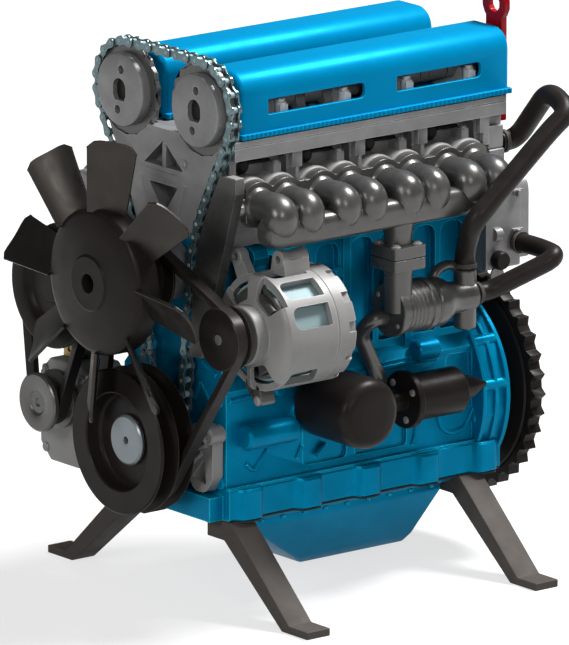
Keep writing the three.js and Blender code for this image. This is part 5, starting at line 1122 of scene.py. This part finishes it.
def block_ribs():
    right = [[(34.2, -3), (29.1, -8.4), (26.8, -5.8)]]
    right += [[(46.1, -3.6), (44.3, -7.2)], [(54.3, -4.5), (51.2, -7.4)]]
    right.append([(93.6, -2.6), (94.6, -6.8), (98.2, -9), (103.2, -7.8), (105.2, -4.4), (107.2, -1.4)])
    right.append([(84.5, -10), (86, -6), (85.8, -2.4)])
    right.append([(21, 12.5), (45, 13.6), (60, 12.6), (82, 13.6), (93, 13.2)])
    left = [[(24, 9.5), (28, -0.5), (25.5, -10.5)], [(60, 9.5), (64, -4), (60, -11)]]
    left += [[(y, -11.4), (y, 8)] for y in (42, 78, 96)]
    ribs = [tube(bends([(side * 22.4, y, z) for y, z in points], 2, 6), 0.75, 14)
            for side, lines in ((1, right), (-1, left)) for points in lines]
    make("block_ribs", ribs, "block_paint", angle=60)


def block_bosses():
    plug = [(0, 84.4), (2.5, 84.6), (2.9, 85.2), (2.9, 91.6), (2.4, 92.2), (0, 92.3)]
    bosses = [lathe(plug, (23.4, 16.6), "y", 32)]
    bosses.append(boss((107.7, -5.6), 2.5, 22, 24.2, (0.4, 0.6), segments=28))
    bosses.append(boss((45.4, 6), 3.2, 22, 23.4, (0.3, 0.4), segments=28))
    bosses.append(boss((84.2, 8.2), 2, 22, 24.4))
    for start, places in ((22.2, ((37.5, 13.2), (70.4, 13.2))), (19.2, ((60.3, 42), (60.3, 34)))):
        bosses += [boss(place, 1.7, start, start + 2.1) for place in places]
    bosses += [boss((y, 3), 2.2, -22, -24.2, (0.4, 0.6)) for y in (31, 53, 75, 97)]
    make("block_bosses", bosses, "block_paint", bevel=0.15, angle=40)
    places = (((23.4, 92.3, 16.6), (0, 1, 0), 1.1), ((24.2, 107.7, -5.6), (1, 0, 0), 1.2))
    heads = [bolt(at, towards, size, 0.6, False) for at, towards, size in places]
    make("block_boss_bolts", heads, "block_paint", bevel=0.1)


def bell_rims():
    foot_z, bell_radius, inner_radius, ear_circle = -20.7, 27.4, 26.6, 26.4
    foot = math.asin(foot_z / bell_radius)
    inner = arc((0, 0), inner_radius, foot, math.pi - foot, 72)
    rims = []
    for start, end, reach in ((105.4, 106.6, 27.9), (109.6, 110.9, 27.9), (113.3, 114.7, 28.2)):
        rims.append(framed(arc((0, 0), reach, foot, math.pi - foot, 72), inner, "y", start, end))
    turns = (0.15, 0.62, 1.1, math.pi - 1.1, math.pi - 0.62, math.pi - 0.15)
    rims += [ring(0, 1.7, 106.4, 113.6, at, segments=20) for at in around((0, 0), ear_circle, turns)]
    make("bell_rims", rims, "block_paint", bevel=0.3, angle=40)


def block_front():
    rear, front = 20.5, 19.0
    ribs = [((9.5, -19), (17.5, -12.5)), ((12, 16), (18.2, 9)), ((13.2, 26), (18.6, 26))]
    ribs += [((12.6, 21.5), (18.8, 19)), ((9, 11), (12, 16))]
    parts = [boss((0, 0), 6.6, rear, front, (0.6, 0.5), "y", 48)]
    parts += [rod((x, 19.9, z), (end_x, 19.9, end_z), 0.8, 14) for (x, z), (end_x, end_z) in ribs]
    bolted = ((18.4, 48), (18.4, 30), (19.8, 12), (-18.4, 48), (-18.4, 30))
    parts += [boss(at, 1.8, rear, front, (0.3, 0.3), "y") for at in bolted + ((20.6, -10.5), (-20.6, -10.5))]
    make("block_front_ribs", parts, "block_paint", bevel=0.15, angle=50)
    dots = [boss(at, 1, 19.3, 18.7, (0.1, 0.2), "y", 18) for at in bolted]
    make("block_front_bolts", dots, "dark_casting")


def sump():
    soften("sump", "block_paint", 0.8, segments=3)
    seam = [(x - 0.25, y) for x, y in rail_edge(1)] + [(x + 0.25, y) for x, y in reversed(rail_edge(-1))]
    make("sump_gasket", prism(seam, "z", -21.1, -20.7), "black_rubber")
    places = [(side * 20.9, 33.4 + i * 7.4, -22.95) for side in SIDES for i in range(9)]
    make("sump_bolts", [bolt(at, (0, 0, -1), 0.75, 0.6, False) for at in places], "block_paint", bevel=0.06)


# Guides, legs and housings, the intake side, the flywheel and the pieces inside
def guides_and_legs():
    soften("chain_guide", "dark_casting", 0.25)
    soften("chain_tensioner", "dark_casting", 0.25)
    # Thin bright strips on the guides' tops are a painted highlight.
    guide_top_highlight_strips = [box(x, (16.3, 19.1), (76.02, 76.3)) for x in ((27.2, 31.4), (-25.9, -21.8))]
    make("guide_top_painted_highlight", guide_top_highlight_strips, "bright_alloy", bevel=0.08)
    soften("bearing_ladder", "grey_casting", 0.3)
    for end in ("front_right", "front_left", "rear_right", "rear_left"):
        soften(f"leg_{end}", "leg_steel", 0.3)
    bolts = [bolt((side * 18.5, y, -26.4), (0, 0, -1), 1.5, 0.9) for side in SIDES for y in (24, 103.6)]
    make("leg_bolts", bolts, "machined_steel", bevel=0.1)
    soften("lifting_eye", "red_enamel", 0.3)


def oil_pump():
    outline = [(10.2, -9), (13.6, -13.2), (18, -13.2), (21.4, -9.4)]
    outline += [(21.6, 1.6), (18.6, 5.8), (13.4, 5.8), (10, 2)]
    cuts = [prism(rounded([(12.6, -9.6), (18.8, -10.8), (17.9, -3.6)], 0.8), "y", 14, 18.2)]
    cuts.append(rod((18, 14, 1.4), (18, 18.3, 1.4), 1.2, 20))
    case = prism(rounded(outline, 1.6, 5), "y", 16, 19.7)
    make("oil_pump_casting", case, "bright_alloy", node="oil_pump_cover", cuts=cuts, bevel=0.35, segments=3)
    ear = boss((20.5, 3.4), 2.5, 19.6, 14.7, (0.3, 0.4), "y", 32, bore=1.1)
    make("oil_pump_ear", ear, "bright_alloy", bevel=0.1)
    ribs = [rod((12, 15.9, -2.6), (19.6, 15.9, 0.8), 0.75, 14)]
    ribs += [rod((12.2, 15.9, -6), (17.2, 15.9, -2), 0.7, 14), bolt((12.9, 15.9, 3), (0, -1, 0), 1, 0.6)]
    make("oil_pump_ribs", ribs, "bright_alloy", bevel=0.1)


def rear_housing():
    parts = [prism(panel((-20, 26), (36, 62), [1, 1, 6, 6], 8), "y", 107.4, 119.6)]
    parts.append(prism(panel((-18.4, 24.6), (37.6, 60.6), [1, 1, 5, 5], 8), "y", 119.6, 123.8))
    parts.append(prism(panel((106.9, 109.2), (36.6, 60), 0.6, 3), "x", 25.8, 26.7))
    for z in (46, 57):
        parts.append(rod((26, 109.9, z), (26, 112.4, z), 1.9, 24))
        parts.append(box((25.8, 27.6), (117.6, 118.6), (z - 1.2, z + 0.6)))
        parts.append(box((25.8, 27), (116.4, 119.8), (z + 0.2, z + 0.8)))
    make("rear_case", parts, "grey_casting", node="rear_housing", bevel=0.4, segments=3)


def intake_manifold():
    x, z = PLENUM
    parts = [prism(panel((20.8, 106), (61.4, 73.6), 2.4, 5), "x", -26.7, -24.6)]
    plenum = [(0, 20.8), (4.6, 21.2), (5.8, 22.4), (6.2, 24.4)]
    plenum += [(6.2, 102.4), (5.6, 104.2), (4, 105), (0, 105)]
    parts.append(lathe(plenum, PLENUM, "y", 56))
    for y in BORES:
        parts.append(tube(bends([(-26.2, y, PORT_Z), (-33.5, y, PORT_Z), (x, y, z + 1)], 4.5, 10), 4.1, 32))
        parts.append(lathe([(4, -27), (4.9, -27.1), (4.6, -28.2), (4, -28.8)], (y, PORT_Z), "x", 32))
    inlet = [(0, 18.5), (3.9, 18.5), (3.9, 18.9), (4.6, 18.9), (4.6, 22), (0, 22)]
    parts.append(lathe(inlet, PLENUM, "y", 40))
    make("intake_casting", parts, "grey_casting", node="intake_manifold", bevel=0.2, angle=40)
    places = [(y + offset, z) for y in BORES for offset, z in ((8, 71.2), (-8, 63.8)) if y + offset < 104]
    bolts = [bolt((-26.8, y, z), (-1, 0, 0), 1.1, 0.7) for y, z in places]
    make("intake_bolts", bolts, "machined_steel", bevel=0.08)


def side_drive():
    pump = [(2.6, 8), (8.9, 8), (9.6, 8.3), (9.8, 9), (9.8, 17), (9.3, 17.4), (9.3, 18.2), (9.8, 18.6)]
    pump += [(9.8, 29.6), (8.4, 31.6), (8, 32.4), (8, 39.2), (7.2, 40), (0, 40), (0, 13.4), (2.6, 13.4)]
    make("side_pump_case", lathe(pump, LARGE_PULLEY), "bright_alloy", node="side_pump", bevel=0.14, angle=40)
    soften("side_drive", "bright_alloy", 0.7, segments=3)
    corners = ((-43.4, 10.6), (-27.2, 10.4), (-43.4, -11.6), (-27.6, -9.4))
    parts = [bolt((x, 9, z), (0, -1, 0), 1, 0.6) for x, z in corners]
    parts.append(lathe([(2.7, 8.2), (5.6, 8.4), (6.2, 9.2), (6.2, 9.6), (2.7, 9.6)], SMALL_PULLEY, "y", 40))
    parts.append(rod((-30.2, 9.4, 13.2), (-30.2, 19, 13.2), 1.8, 24))
    make("side_drive_trim", parts, "bright_alloy", bevel=0.12)
    soften("drive_valve", "brass", 0.5, segments=3)
    port = boss((-35.8, 17.2), 2.1, 12.2, 11.5, (0.2, 0.3), "y", bore=0.9)
    make("drive_valve_port", port, "brass", bevel=0.1)


def flywheel():
    profile = [(0, 119.4), (28.2, 119.4), (28.6, 119.8), (28.6, 124.2), (28, 124.8)]
    profile += [(26.4, 124.8), (25.8, 124.2), (12, 124.2), (11.4, 124.8), (0, 124.8)]
    places = around((0, 0), 17.5, [TAU * (i + 0.5) / 6 for i in range(6)])
    holes = [rod((x, 118, z), (x, 126, z), 2.6, 28) for x, z in places]
    disc = lathe(profile, segments=96)
    make("flywheel_disc", disc, "black_coat", "crank", "flywheel", cuts=holes, bevel=0.15, angle=40)
    places = around((0, 0), 6.4, [TAU * i / 6 for i in range(6)])
    bolts = [bolt((x, 124.8, z), (0, 1, 0), 1.1, 0.8) for x, z in places]
    make("flywheel_bolts", bolts, "machined_steel", "crank", bevel=0.08)
    soften("ring_gear", "black_coat", 0.18, "crank")


def inner_parts():
    soften("crankshaft", "machined_steel", 0.2, "crank")
    soften("alternator_rotor", "dark_casting", 0.2, "rotor")
    for i in range(1, 5):
        soften(f"connecting_rod_{i}", "machined_steel", 0.2, f"rod_{i}")
        soften(f"piston_{i}", "bright_alloy", 0.2, f"piston_body_{i}")


cooling_fan()
belt_drive()
timing_chain()
for cam, side in CAMS:
    cam_sprocket(cam, side)
crank_sprocket()
for cam, side in CAMS:
    cam_cover(cam, side)
for cam, side in CAMS:
    camshaft(cam, side)
bearing_caps()
cylinder_head()
exhaust_manifold()
gas_cooler()
pipes()
alternator()
starter_and_filter()
block_casting()
block_rails()
block_ribs()
block_bosses()
bell_rims()
block_front()
sump()
guides_and_legs()
oil_pump()
rear_housing()
intake_manifold()
side_drive()
flywheel()
inner_parts()
